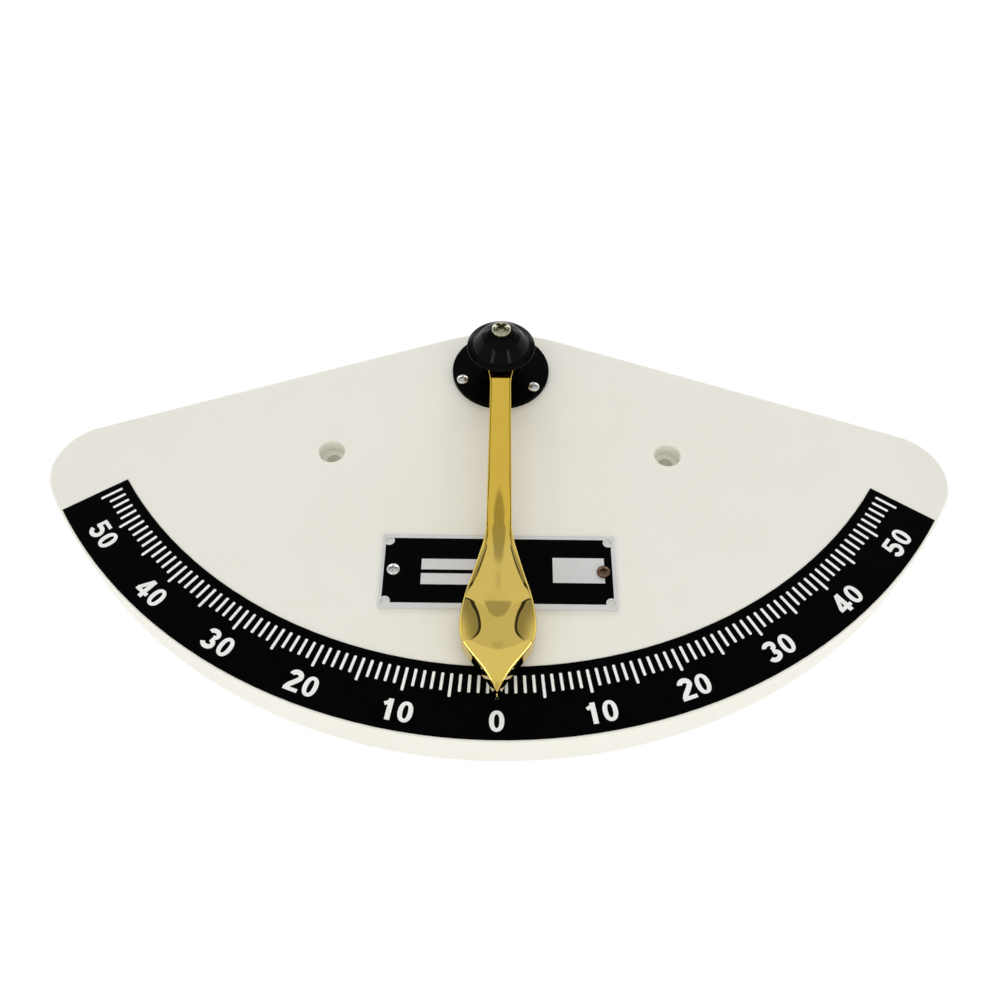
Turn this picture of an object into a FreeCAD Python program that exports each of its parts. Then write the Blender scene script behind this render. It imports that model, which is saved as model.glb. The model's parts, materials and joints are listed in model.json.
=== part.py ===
import FreeCAD, Part
import math
import os
import re
import Sketcher

# A bulkhead inclinometer: a brass pendulum swings in front of a moulded sector
# plate that carries a 55-0-55 degree scale.  All sizes are in millimetres.
#
# Part frame: +X to the right, +Z up, the reader looks along +Y.  The origin is
# midway between the two bulkhead screws, on the plane of the plate's back.
# Every sub-part is drawn flat, in a local frame whose XY plane is the plate's
# back and whose Z axis points at the reader, and is then stood upright.

DIMENSIONS = (
    # the moulded plate, drawn about the centre of the scale
    ("plate_depth", 20, "back plane to front face"),
    ("rim_radius", 229, "curved lower edge, about the scale centre"),
    ("edge_angle", 20, "fall of the straight upper edges, degrees"),
    ("edge_drop", 14.4, "scale centre down to where the upper edges would meet"),
    ("apex_radius", 78, "rounding of the top"),
    ("corner_radius", 25, "rounding of the two outer corners"),
    ("rim_round", 1.1, "rounding of the front edge"),
    ("wall", 4, "perimeter wall of the moulding"),
    ("skin", 4, "front skin of the moulding"),
    ("rib", 2.4, "thickness of a rib"),
    ("rib_setback", 1, "ribs stop short of the back plane"),
    ("rib_pitch", 9.3333, "angle between radial ribs, degrees"),
    ("rib_reach", 56, "angle of the outermost radial rib, degrees"),
    ("ring_first", 60, "radius of the innermost curved rib"),
    ("ring_step", 33, "radius from one curved rib to the next"),
    ("ring_count", 5, "number of curved ribs"),
    ("rib_up_long", 24, "pivot to the end of the rib above it"),
    # bulkhead screws
    ("mount_half_pitch", 76, "half the distance between the bulkhead screws"),
    ("mount_drop", 93.8, "scale centre down to the bulkhead screws"),
    ("mount_bore", 6.5, "clearance hole for an M6 screw"),
    ("mount_recess", 11.8, "counterbore diameter"),
    ("mount_recess_depth", 7, "counterbore depth"),
    ("recess_chamfer", 0.5, "bright chamfer round each counterbore"),
    ("mount_boss", 9.5, "radius of the boss behind each hole"),
    # pivot
    ("pivot_drop", 45.2, "scale centre down to the pivot axis"),
    ("pivot_boss", 11, "radius of the boss behind the pivot"),
    ("pivot_seat", 9, "back plane to the washer seat"),
    ("socket_room", 13, "radius kept clear round the nut for a socket"),
    ("spindle_bore", 4.1, "radius of the plate's hole for the spindle"),
    ("flange_radius", 23, "hub flange"),
    ("flange_top", 22.5, "front face of the hub flange"),
    ("flange_boss", 9, "radius of the raised boss on the flange"),
    ("flange_boss_top", 27, "front of that boss"),
    ("flange_edge", 0.6, "chamfer of the flange's edge"),
    ("flange_fillet", 1.5, "flare at the foot of the boss"),
    ("edge_break", 0.5, "broken edges of turned parts"),
    ("flange_screw_circle", 19.5, "radius of the flange screw circle"),
    ("flange_screw_angle", 83, "angle of the first flange screw, degrees"),
    ("screw_boss", 4.5, "radius of the bosses that take the flange screws"),
    # spindle
    ("spindle_radius", 4, "body of the spindle, through flange and plate"),
    ("spindle_tail", 3, "radius of the threaded tail"),
    ("spindle_tail_end", 2, "back end of the tail"),
    ("collar_radius", 5.5, "collar that clamps the flange"),
    ("collar_top", 29.2, "front of the collar"),
    ("shoulder_radius", 4, "shoulder behind the bearing"),
    ("bearing_back", 30.5, "back face of the bearing"),
    ("bearing_width", 5, "width of the bearing"),
    ("journal_radius", 3, "journal in the bearing"),
    ("journal_end", 35.3, "front end of the spindle"),
    ("cap_thread", 2, "radius of the tapped hole for the cap screw"),
    ("cap_thread_end", 23, "bottom of the tapped hole"),
    # ball bearing
    ("inner_race_edge", 4.4, "outside radius of the inner ring"),
    ("outer_race_edge", 6.1, "inside radius of the outer ring"),
    ("bearing_radius", 7.5, "outside radius of the bearing"),
    ("ball_circle", 5.25, "radius of the circle of ball centres"),
    ("ball_radius", 1.15, "radius of a ball"),
    ("groove_radius", 1.22, "radius of the raceway groove"),
    ("ball_count", 7, "number of balls"),
    ("cage_inner", 4.8, "inside radius of the cage"),
    ("cage_outer", 5.7, "outside radius of the cage"),
    ("cage_width", 3.2, "width of the cage"),
    ("cage_window", 1.3, "half the width of a ball window"),
    ("shield_thick", 0.3, "thickness of a bearing shield"),
    ("shield_inset", 0.2, "bearing face to shield"),
    ("shield_inner", 4.6, "inside radius of a shield"),
    # hub cap and its screw
    ("cap_nose", 4, "radius of the nose that bears on the inner ring"),
    ("cap_floor", 37, "underside of the cap, clear of the pendulum"),
    ("cap_rim_radius", 15.8, "widest radius of the cap"),
    ("cap_rim_break", 0.8, "bevel under the rim"),
    ("cap_rim_high", 38.4, "front of the rim's upright side"),
    ("cap_brim", 14.3, "radius where the rim's bevel meets the brim"),
    ("cap_brim_high", 39.1, "height of that place"),
    ("cap_foot", 13, "radius where the steep flank stands on the brim"),
    ("cap_foot_high", 39.4, "height of that place"),
    ("cap_middle", 9, "radius where the flank meets the flatter cone"),
    ("cap_middle_high", 45.1, "height of that place"),
    ("cap_crown", 6.2, "radius where the cone ends"),
    ("cap_crown_high", 47.2, "height where the cone ends"),
    ("cap_top", 47.7, "front face of the cap"),
    ("cap_top_radius", 5.2, "radius of that face"),
    ("cap_bore", 2.2, "radius of the screw hole through the cap"),
    # pendulum
    ("eye_radius", 9.6, "eye round the bearing"),
    ("eye_back", 29.5, "back of the eye and arm"),
    ("eye_front", 36, "front of the eye and arm"),
    ("eye_lip", 6.6, "radius of the lip behind the bearing"),
    ("root_round", 38, "concave rounding from the eye into the arm"),
    ("arm_top", 4.75, "half the width of the arm below the eye"),
    ("arm_half", 5.25, "half the width of the arm where the bob starts"),
    ("arm_bevel", 0.9, "bevel along the arm"),
    ("arm_end", 94, "pivot to where the arm starts to swell"),
    ("bob_back", 24, "back of the bob"),
    ("bob_ridge", 31, "height of the ridge round the bob"),
    ("bob_crown", 37.4, "highest point of the bob's crowned front"),
    ("bob_peak", 132, "pivot to that point"),
    ("bob_blend", 26, "length over which the arm's bevels melt into the crown"),
    ("bob_centre", 141.5, "pivot to the widest place"),
    ("bob_half", 15.1, "half the greatest width"),
    ("tip_reach", 168.3, "pivot to the tip"),
    ("tip_half", 0.2, "half the width of the tip's edge"),
    # printed scale
    ("band_inner", 198.2, "inside radius of the black band"),
    ("band_outer", 227.8, "outside radius of the black band"),
    ("band_reach", 56, "half the angle of the band, degrees"),
    ("band_thick", 0.3, "thickness of the band"),
    ("mark_inner", 202, "inside radius of every graduation"),
    ("mark_outer", 209.3, "outside radius of a one-degree graduation"),
    ("mark_outer_long", 211.7, "outside radius of a five-degree graduation"),
    ("mark_half", 0.58, "half the width of a graduation"),
    ("mark_thick", 0.1, "thickness of a graduation"),
    ("scale_limit", 55, "last graduation each side, degrees"),
    # name plate
    ("label_half_width", 49, "half the width of the name plate"),
    ("label_half_height", 17.6, "half its height"),
    ("label_thick", 1, "its thickness"),
    ("label_drop", 155.7, "scale centre down to its middle"),
    ("label_round", 0.8, "rounding of its corners"),
    ("label_hole", 1.6, "radius of its four spare corner holes"),
    ("label_hole_x", 46.3, "corner holes, sideways"),
    ("label_hole_y", 14.4, "corner holes, up and down"),
    ("label_screw_x", 43.6, "its two screws, sideways"),
    # small screws
    ("small_shank", 1.5, "radius of an M3 shank"),
    ("small_head", 2.75, "radius of an M3 pan head"),
    ("small_head_side", 0.9, "straight side of that head"),
    ("small_head_high", 2, "height of that head"),
    ("small_crown", 1.4, "radius of the flat top of that head"),
    ("small_screw_long", 11, "shank length of a flange screw"),
    ("label_screw_long", 8, "shank length of a name plate screw"),
    ("screw_gap", 0.05, "clearance round a shank"),
    # cap screw
    ("cap_screw_head", 4.4, "radius of the cap screw's head"),
    ("cap_screw_side", 1.1, "straight side of that head"),
    ("cap_screw_high", 3.3, "height of that head"),
    ("cap_screw_crown", 2, "radius of the flat top of that head"),
    ("cap_screw_long", 20, "shank length"),
    # nut and washer behind the plate
    ("washer_radius", 6.2, "outside radius of the washer"),
    ("washer_bore", 3.2, "inside radius of the washer"),
    ("washer_thick", 1.4, "thickness of the washer"),
    ("nut_half_flat", 5, "half the width across flats"),
    ("nut_high", 5, "height of the nut"),
    ("nut_chamfer", 1.2, "depth of the chamfer on its corners"),
)

SHEET = "Dimensions"
FUNCTIONS = ("sqrt", "sin", "cos", "tan", "acos", "deg")
UPRIGHT = FreeCAD.Rotation(FreeCAD.Vector(1, 0, 0), 90)
FULL_TURN = 360

# Ribs from the pivot post to the second curved rib: name and angle from straight down.
POST_RIBS = (("down", 0), ("left", 30), ("right", -30), ("far_left", 67), ("far_right", -67))
# Plan of the bob: distance from its widest place, and the share of the half width there.
BOB_PLAN = (
    (-39.5, 0.395), (-31.5, 0.536), (-21.5, 0.72), (-12, 0.893), (-5.5, 0.976), (0, 1),
    (5.5, 0.931), (10, 0.748), (14.5, 0.51), (20.5, 0.225),
)
FRONT_STEPS = 5
TIP_EDGE = 0.3
# Flat along the middle of the bob's front: half its width where the crown is full, and the
# share of the bob's half width that it gives up on the way there.
FLAT_LEFT = 0.3
FLAT_SHRINK = 0.5
# Powers of the fall from the bob's crown to its edges: rounded edges above, a ridge at the tip.
CROWN_POWER = 3.2
TIP_POWER = 2

document = FreeCAD.newDocument("inclinometer")


def make_sheet():
    """Fill the spreadsheet with the driving dimensions, one alias a row."""
    sheet = document.addObject("Spreadsheet::Sheet", SHEET)
    for row, (alias, value, note) in enumerate(DIMENSIONS, start=1):
        sheet.set("A%d" % row, note)
        sheet.set("B%d" % row, str(value))
        sheet.setAlias("B%d" % row, alias)
    document.recompute()
    return sheet


sheet = make_sheet()


def bound(formula):
    """Turn a formula in plain dimension names into a FreeCAD expression."""
    def qualify(match):
        word = match.group()
        return word if word in FUNCTIONS else "%s.%s" % (SHEET, word)
    return re.sub(r"[a-z][a-z_]+", qualify, str(formula))


def value(formula):
    """The formula's present value as a plain number."""
    result = sheet.evalExpression(bound(formula))
    return float(getattr(result, "Value", result))


def bind(feature, prop, formula):
    """Drive one property of a feature from the sheet."""
    feature.setExpression(prop, bound(formula))


# ---- sketches ------------------------------------------------------------

def make_sketch(body, name, role="XY_Plane", offset="0", turn="0", up="0"):
    """A sketch on one of the body's own planes, moved up, out along its normal and turned."""
    plane = next(item for item in body.Origin.OriginFeatures if item.Role == role)
    sketch = body.newObject("Sketcher::SketchObject", name)
    sketch.AttachmentSupport = [(plane, "")]
    sketch.MapMode = "FlatFace"
    spin = FreeCAD.Rotation(FreeCAD.Vector(0, 0, 1), value(turn))
    sketch.AttachmentOffset = FreeCAD.Placement(FreeCAD.Vector(), spin)
    bind(sketch, "AttachmentOffset.Base.y", up)
    bind(sketch, "AttachmentOffset.Base.z", offset)
    return sketch


def drive(sketch, kind, *terms):
    """Add a dimensional constraint whose last term is a bound formula."""
    formula = terms[-1]
    index = sketch.addConstraint(Sketcher.Constraint(kind, *terms[:-1], value(formula)))
    sketch.setExpression("Constraints[%d]" % index, bound(formula))


def place_point(sketch, geometry, position, across, up):
    """Fix a point of the sketch by two formulas, or on an axis where one is zero."""
    if abs(value(across)) < 1e-9:
        sketch.addConstraint(Sketcher.Constraint("PointOnObject", geometry, position, -2))
    else:
        drive(sketch, "DistanceX", -1, 1, geometry, position, across)
    if abs(value(up)) < 1e-9:
        sketch.addConstraint(Sketcher.Constraint("PointOnObject", geometry, position, -1))
    else:
        drive(sketch, "DistanceY", -1, 1, geometry, position, up)


def add_circle(sketch, radius, across="0", up="0"):
    """A circle whose centre and radius are bound to the sheet."""
    centre = FreeCAD.Vector(value(across), value(up), 0)
    circle = Part.Circle(centre, FreeCAD.Vector(0, 0, 1), value(radius))
    index = sketch.addGeometry(circle, False)
    place_point(sketch, index, 3, across, up)
    drive(sketch, "Radius", index, radius)


def short_arc(start, end, radius):
    """The short arc from start to end; a negative radius runs clockwise."""
    chord = end - start
    left = FreeCAD.Vector(-chord.y, chord.x, 0).normalize()
    height = math.sqrt(radius * radius - chord.Length ** 2 / 4)
    side = 1 if radius > 0 else -1
    centre = (start + end) * 0.5 + left * (height * side)
    first, last = (start, end) if radius > 0 else (end, start)
    angles = [math.atan2(point.y - centre.y, point.x - centre.x) for point in (first, last)]
    circle = Part.Circle(centre, FreeCAD.Vector(0, 0, 1), abs(radius))
    return Part.ArcOfCircle(circle, angles[0], angles[1])


def add_profile(sketch, vertices):
    """A closed outline of lines and arcs.

    A vertex is (across, up), or (across, up, radius) where the edge that leaves
    it is an arc; a radius with a leading minus runs clockwise.
    """
    points = [FreeCAD.Vector(value(item[0]), value(item[1]), 0) for item in vertices]
    count = len(vertices)
    ends = []
    for index, item in enumerate(vertices):
        start, end = points[index], points[(index + 1) % count]
        if len(item) == 3:
            geometry = sketch.addGeometry(short_arc(start, end, value(item[2])), False)
            ends.append((geometry, 1, 2) if value(item[2]) > 0 else (geometry, 2, 1))
        else:
            ends.append((sketch.addGeometry(Part.LineSegment(start, end), False), 1, 2))
    for index, item in enumerate(vertices):
        geometry, start_position, end_position = ends[index]
        following = ends[(index + 1) % count]
        sketch.addConstraint(Sketcher.Constraint(
            "Coincident", geometry, end_position, following[0], following[1]))
        place_point(sketch, geometry, start_position, item[0], item[1])
        if len(item) == 3:
            drive(sketch, "Radius", geometry, item[2].lstrip("-"))


def add_ring_sector(sketch, inner, outer, reach):
    """Part of a ring about the sketch origin, reach degrees each side of straight down."""
    across, down = "sin(%s * 1deg)" % reach, "cos(%s * 1deg)" % reach
    add_profile(sketch, (
        ("-(%s) * %s" % (outer, across), "-(%s) * %s" % (outer, down)),
        ("-(%s) * %s" % (inner, across), "-(%s) * %s" % (inner, down), "(%s)" % inner),
        ("(%s) * %s" % (inner, across), "-(%s) * %s" % (inner, down)),
        ("(%s) * %s" % (outer, across), "-(%s) * %s" % (outer, down), "-(%s)" % outer),
    ))


def add_rectangle(sketch, left, right, low, high):
    """An upright rectangle between four bound sides."""
    add_profile(sketch, ((left, low), (right, low), (right, high), (left, high)))


# ---- features ------------------------------------------------------------

def make_body(label, across="0", up="0"):
    """A body that stands upright, its local origin at a place on the plate."""
    body = document.addObject("PartDesign::Body", label)
    body.Label = label
    body.AllowCompound = True
    place = FreeCAD.Vector(value(across), 0, value(up))
    body.Placement = FreeCAD.Placement(place, UPRIGHT)
    return body


def check_change(body, before, growing):
    """Stop if a feature neither added nor removed anything."""
    document.recompute()
    change = body.Shape.Volume - before
    if (change if growing else -change) <= 1e-6:
        raise RuntimeError("%s: %s changed nothing" % (body.Label, body.Tip.Name))


def present_volume(body):
    """Volume of the body before its next feature, zero while it is empty."""
    return body.Shape.Volume if not body.Shape.isNull() else 0


def pad(body, sketch, length, name):
    """Raise a sketch towards the reader."""
    before = present_volume(body)
    feature = body.newObject("PartDesign::Pad", name)
    feature.Profile = sketch
    bind(feature, "Length", length)
    check_change(body, before, True)
    return feature


def pocket(body, sketch, length, name, towards_reader=False):
    """Cut a sketch into the body, away from the reader unless told otherwise."""
    before = present_volume(body)
    feature = body.newObject("PartDesign::Pocket", name)
    feature.Profile = sketch
    feature.Reversed = towards_reader
    bind(feature, "Length", length)
    check_change(body, before, False)
    return feature


def revolve(body, vertices, name):
    """Turn a profile, drawn as (radius, height), about the local Z axis."""
    before = present_volume(body)
    sketch = make_sketch(body, name + "_profile", "XZ_Plane")
    add_profile(sketch, vertices)
    document.recompute()
    feature = body.newObject("PartDesign::Revolution", name)
    feature.Profile = sketch
    feature.ReferenceAxis = (sketch, ["V_Axis"])
    feature.Angle = FULL_TURN
    check_change(body, before, True)
    return feature


def repeat_round(body, feature, sketch, count, angle, name, growing=True):
    """Repeat a feature about the normal of a sketch through its origin."""
    before = present_volume(body)
    pattern = body.newObject("PartDesign::PolarPattern", name)
    pattern.Originals = [feature]
    pattern.Axis = (sketch, ["N_Axis"])
    bind(pattern, "Angle", angle)
    pattern.Occurrences = int(round(value(count)))
    body.Tip = pattern
    check_change(body, before, growing)
    return pattern


def edges_where(shape, test):
    """Names of the edges whose every sampled point passes the test."""
    names = []
    for index, edge in enumerate(shape.Edges, start=1):
        points = edge.discretize(5)
        if all(test(point) for point in points):
            names.append("Edge%d" % index)
    return names


def soften(body, kind, names, size, name):
    """Fillet or chamfer some edges of the body's present tip."""
    before = body.Shape.Volume
    base = body.Tip
    feature = body.newObject("PartDesign::" + kind, name)
    feature.Base = (base, names)
    bind(feature, "Radius" if kind == "Fillet" else "Size", size)
    check_change(body, before, False)
    return feature


def local(body, point):
    """A point of the body's shape in the body's own frame."""
    return body.Placement.inverse().multVec(point)


# ---- the moulded plate ---------------------------------------------------

SCALE_UP = "mount_drop"
PIVOT_UP = "mount_drop - pivot_drop"
LABEL_UP = "mount_drop - label_drop"


def add_plate_outline(sketch, inset):
    """The sector with rounded top and corners, every side moved in by the inset."""
    slope = math.radians(value("edge_angle"))
    rim, corner, apex = (value("%s - %s" % (name, inset)) for name in (
        "rim_radius", "corner_radius", "apex_radius"))
    reach = value("rim_radius - corner_radius")
    rise = value("edge_drop + corner_radius / cos(edge_angle * 1deg)")
    fall = math.tan(slope)
    # the corner's centre lies on a circle about the scale centre and under the edge
    square, middle, rest = 1 + fall * fall, rise * fall, rise * rise - reach * reach
    across = (-middle + math.sqrt(middle * middle - square * rest)) / square
    corner_at = FreeCAD.Vector(across, -rise - fall * across, 0)
    apex_at = FreeCAD.Vector(0, -value("edge_drop + apex_radius / cos(edge_angle * 1deg)"), 0)
    up = FreeCAD.Vector(0, 0, 1)
    rim_turn = math.atan2(corner_at.y, corner_at.x)
    quarter = math.pi / 2

    def mirrored(point):
        return FreeCAD.Vector(-point.x, point.y, 0)

    def offset(centre, radius):
        return centre + FreeCAD.Vector(math.sin(slope), math.cos(slope), 0) * radius

    left_at = mirrored(corner_at)
    curves = (
        Part.ArcOfCircle(Part.Circle(FreeCAD.Vector(), up, rim), math.pi - rim_turn, rim_turn),
        Part.ArcOfCircle(Part.Circle(corner_at, up, corner), rim_turn, quarter - slope),
        Part.LineSegment(offset(corner_at, corner), offset(apex_at, apex)),
        Part.ArcOfCircle(Part.Circle(apex_at, up, apex), quarter - slope, quarter + slope),
        Part.LineSegment(mirrored(offset(apex_at, apex)), mirrored(offset(corner_at, corner))),
        Part.ArcOfCircle(Part.Circle(left_at, up, corner), quarter + slope, math.pi - rim_turn),
    )
    rim_arc, right_arc, right_edge, apex_arc, left_edge, left_arc = (
        sketch.addGeometry(curve, False) for curve in curves)
    for first, second in ((rim_arc, right_arc), (right_arc, right_edge), (right_edge, apex_arc),
                          (apex_arc, left_edge), (left_edge, left_arc), (left_arc, rim_arc)):
        sketch.addConstraint(Sketcher.Constraint("Tangent", first, 2, second, 1))
    sketch.addConstraint(Sketcher.Constraint("Coincident", rim_arc, 3, -1, 1))
    sketch.addConstraint(Sketcher.Constraint("PointOnObject", apex_arc, 3, -2))
    sketch.addConstraint(Sketcher.Constraint("Equal", left_arc, right_arc))
    drive(sketch, "Radius", rim_arc, "rim_radius - %s" % inset)
    drive(sketch, "Radius", right_arc, "corner_radius - %s" % inset)
    drive(sketch, "Radius", apex_arc, "apex_radius - %s" % inset)
    drive(sketch, "DistanceY", -1, 1, apex_arc, 3,
          "-edge_drop - apex_radius / cos(edge_angle * 1deg)")
    drive(sketch, "DistanceX", -1, 1, right_arc, 3, str(across))
    drive(sketch, "DistanceX", -1, 1, left_arc, 3, str(-across))


def pad_boss(body, name, radius, across, up, start):
    """A round boss from a height up to the front skin."""
    sketch = make_sketch(body, name + "_sketch", offset=start)
    add_circle(sketch, radius, across, up)
    return pad(body, sketch, "plate_depth - skin / 2 - (%s)" % start, name)


def ring_reach(radius):
    """Half the angle of a curved rib that ends in the middle of the perimeter wall."""
    edge = "edge_drop * cos(edge_angle * 1deg) + wall / 2"
    return "(acos((%s) / (%s)) / 1deg - edge_angle)" % (edge, radius)


def add_post_rib(body, name, angle, length):
    """A short rib from the pivot outwards, at an angle from straight down."""
    sketch = make_sketch(body, name + "_sketch", offset="rib_setback", turn=str(-angle),
                         up="-pivot_drop")
    add_rectangle(sketch, "-rib / 2", "rib / 2", "-(%s)" % length, "0")
    pad(body, sketch, "plate_depth - skin / 2 - rib_setback", name)


def add_ribs(body):
    """Radial ribs, curved ribs and the short ribs round the pivot."""
    height = "plate_depth - skin / 2 - rib_setback"
    second_ring = "(ring_first + ring_step)"
    radial = make_sketch(body, "radial_rib_sketch", offset="rib_setback", turn="-rib_reach")
    add_rectangle(radial, "-rib / 2", "rib / 2", "-rim_radius + wall / 2", "-" + second_ring)
    first = pad(body, radial, height, "radial_rib")
    centre = make_sketch(body, "scale_axis_sketch")
    count = "2 * rib_reach / rib_pitch + 1"
    repeat_round(body, first, centre, count, "2 * rib_reach", "radial_ribs")
    for number in range(int(value("ring_count"))):
        radius = "(ring_first + %d * ring_step)" % number
        sketch = make_sketch(body, "curved_rib_sketch", offset="rib_setback")
        add_ring_sector(sketch, radius + " - rib / 2", radius + " + rib / 2", ring_reach(radius))
        pad(body, sketch, height, "curved_rib")
    for name, angle in POST_RIBS:
        turn = "%d * 1deg" % angle
        length = "sqrt(%s ^ 2 - (pivot_drop * sin(%s)) ^ 2) - pivot_drop * cos(%s)" % (
            second_ring, turn, turn)
        add_post_rib(body, "rib_" + name, angle, length)
    add_post_rib(body, "rib_up", FULL_TURN / 2, "rib_up_long")


def make_backplate():
    """The moulding: a hollow sector with ribs and bosses behind its front skin."""
    body = make_body("backplate", up=SCALE_UP)
    outline = make_sketch(body, "outline")
    add_plate_outline(outline, "0")
    pad(body, outline, "plate_depth", "block")
    depth = value("plate_depth")
    front = edges_where(body.Shape, lambda point: abs(local(body, point).z - depth) < 0.01)
    soften(body, "Fillet", front, "rim_round", "front_rounding")

    hollow = make_sketch(body, "hollow_sketch")
    add_plate_outline(hollow, "wall")
    pocket(body, hollow, "plate_depth - skin", "hollow", towards_reader=True)
    add_ribs(body)

    pad_boss(body, "pivot_post", "pivot_boss", "0", "-pivot_drop", "pivot_seat")
    for side in (-1, 1):
        across = "%d * mount_half_pitch" % side
        pad_boss(body, "mount_post", "mount_boss", across, "-mount_drop", "0")
        pad_boss(body, "label_post", "screw_boss", "%d * label_screw_x" % side, "-label_drop",
                 "plate_depth - label_screw_long - rib_setback")
    for number in range(3):
        turn = "(flange_screw_angle + %d * 120) * 1deg" % number
        pad_boss(body, "flange_post", "screw_boss", "flange_screw_circle * cos(%s)" % turn,
                 "-pivot_drop + flange_screw_circle * sin(%s)" % turn, "pivot_seat - rib_setback")

    room = make_sketch(body, "socket_room_sketch")
    add_circle(room, "socket_room", "0", "-pivot_drop")
    pocket(body, room, "pivot_seat", "socket_room", towards_reader=True)
    cut_plate_holes(body)
    return body


def cut_plate_holes(body):
    """Counterbored bulkhead holes, the spindle hole and the blind screw holes."""
    drilled = make_sketch(body, "mount_sketch", offset="plate_depth")
    recess = make_sketch(body, "mount_recess_sketch", offset="plate_depth")
    for side in (-1, 1):
        across = "%d * mount_half_pitch" % side
        add_circle(drilled, "mount_bore / 2", across, "-mount_drop")
        add_circle(recess, "mount_recess / 2", across, "-mount_drop")
    pocket(body, drilled, "plate_depth", "mount_holes")
    pocket(body, recess, "mount_recess_depth", "mount_recesses")
    depth = value("plate_depth")
    span = value("mount_recess / 2 + recess_chamfer")

    def on_recess_mouth(point):
        spot = local(body, point)
        reach = math.hypot(abs(spot.x) - value("mount_half_pitch"), spot.y + value("mount_drop"))
        return abs(spot.z - depth) < 0.01 and reach < span
    soften(body, "Chamfer", edges_where(body.Shape, on_recess_mouth), "recess_chamfer",
           "recess_chamfer")

    bore = make_sketch(body, "spindle_hole_sketch", offset="plate_depth")
    add_circle(bore, "spindle_bore", "0", "-pivot_drop")
    pocket(body, bore, "plate_depth", "spindle_hole")
    flange_holes = make_sketch(body, "flange_hole_sketch", offset="plate_depth")
    for number in range(3):
        turn = "(flange_screw_angle + %d * 120) * 1deg" % number
        add_circle(flange_holes, "small_shank + screw_gap", "flange_screw_circle * cos(%s)" % turn,
                   "-pivot_drop + flange_screw_circle * sin(%s)" % turn)
    pocket(body, flange_holes, "small_screw_long - (flange_top - plate_depth) + screw_gap",
           "flange_holes")
    label_holes = make_sketch(body, "label_hole_sketch", offset="plate_depth")
    for side in (-1, 1):
        add_circle(label_holes, "small_shank + screw_gap", "%d * label_screw_x" % side,
                   "-label_drop")
    pocket(body, label_holes, "label_screw_long - label_thick + screw_gap", "label_holes")


# ---- what is fixed to the front ------------------------------------------

def make_scale_band():
    """The black sector strip that carries the printed graduations."""
    body = make_body("scale_band", up=SCALE_UP)
    sketch = make_sketch(body, "band_sketch", offset="plate_depth")
    add_ring_sector(sketch, "band_inner", "band_outer", "band_reach")
    pad(body, sketch, "band_thick", "band")
    return body


def make_graduations():
    """White graduations: one a degree, each fifth one longer."""
    body = make_body("scale_graduations", up=SCALE_UP)
    centre = make_sketch(body, "graduation_axis_sketch")
    for name, outer, step in (("degree", "mark_outer", 1), ("five_degree", "mark_outer_long", 5)):
        sketch = make_sketch(body, name + "_sketch", offset="plate_depth + band_thick",
                             turn="-scale_limit")
        add_rectangle(sketch, "-mark_half", "mark_half", "-(%s)" % outer, "-mark_inner")
        first = pad(body, sketch, "mark_thick", name)
        repeat_round(body, first, centre, "2 * scale_limit / %d + 1" % step, "2 * scale_limit",
                     name + "_marks")
    return body


def make_name_plate():
    """A thin metal plate with four spare corner holes and two screw holes."""
    body = make_body("name_plate", up=LABEL_UP)
    sketch = make_sketch(body, "label_sketch", offset="plate_depth")
    add_rectangle(sketch, "-label_half_width", "label_half_width", "-label_half_height",
                  "label_half_height")
    pad(body, sketch, "label_thick", "sheet_metal")
    half = value("label_half_width") - 0.01
    corners = edges_where(body.Shape, lambda point: abs(local(body, point).x) > half
                          and abs(local(body, point).y) > value("label_half_height") - 0.01)
    soften(body, "Fillet", corners, "label_round", "corner_rounding")
    holes = make_sketch(body, "label_holes_sketch", offset="plate_depth + label_thick")
    for across in (-1, 1):
        add_circle(holes, "small_shank + screw_gap", "%d * label_screw_x" % across, "0")
        for up in (-1, 1):
            add_circle(holes, "label_hole", "%d * label_hole_x" % across, "%d * label_hole_y" % up)
    pocket(body, holes, "label_thick", "holes")
    return body


def pan_screw(body, seat, shank, long, head, side, high, crown):
    """A pan-head screw on the local Z axis, its head resting at the seat."""
    revolve(body, (
        ("0", "%s + %s" % (seat, high)),
        (crown, "%s + %s" % (seat, high)),
        (head, "%s + %s" % (seat, side)),
        (head, seat),
        (shank, seat),
        (shank, "%s - %s" % (seat, long)),
        ("0", "%s - %s" % (seat, long)),
    ), "screw_blank")


def small_screw(body, seat, long):
    """The M3 pan-head screw that holds both the flange and the name plate."""
    pan_screw(body, seat, "small_shank", long, "small_head", "small_head_side",
              "small_head_high", "small_crown")


def make_name_plate_screw(label, side):
    """One of the two name plate screws, left or right of the middle."""
    body = make_body(label, "%d * label_screw_x" % side, LABEL_UP)
    small_screw(body, "plate_depth + label_thick", "label_screw_long")
    return body


def group_round(label, shape, count):
    """Equal solids round the pivot axis, as one group; the shape is in the upright local frame."""
    copies = []
    for number in range(int(round(count))):
        copy = shape.copy()
        copy.rotate(FreeCAD.Vector(), FreeCAD.Vector(0, 0, 1), FULL_TURN * number / count)
        copies.append(copy)
    group = document.addObject("Part::Feature", label)
    group.Label = label
    group.Shape = Part.makeCompound(copies)
    group.Placement = FreeCAD.Placement(FreeCAD.Vector(0, 0, value(PIVOT_UP)), UPRIGHT)
    return group


def make_flange_screws():
    """Three equal screws on the flange's screw circle, as one group."""
    pattern = make_body("flange_screw_pattern")
    small_screw(pattern, "flange_top", "small_screw_long")
    screw = pattern.Shape.copy()
    screw.Placement = FreeCAD.Placement()
    screw.translate(FreeCAD.Vector(value("flange_screw_circle"), 0, 0))
    screw.rotate(FreeCAD.Vector(), FreeCAD.Vector(0, 0, 1), value("flange_screw_angle"))
    return group_round("hub_flange_screws", screw, 3)


# ---- hub, spindle and bearing --------------------------------------------

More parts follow.
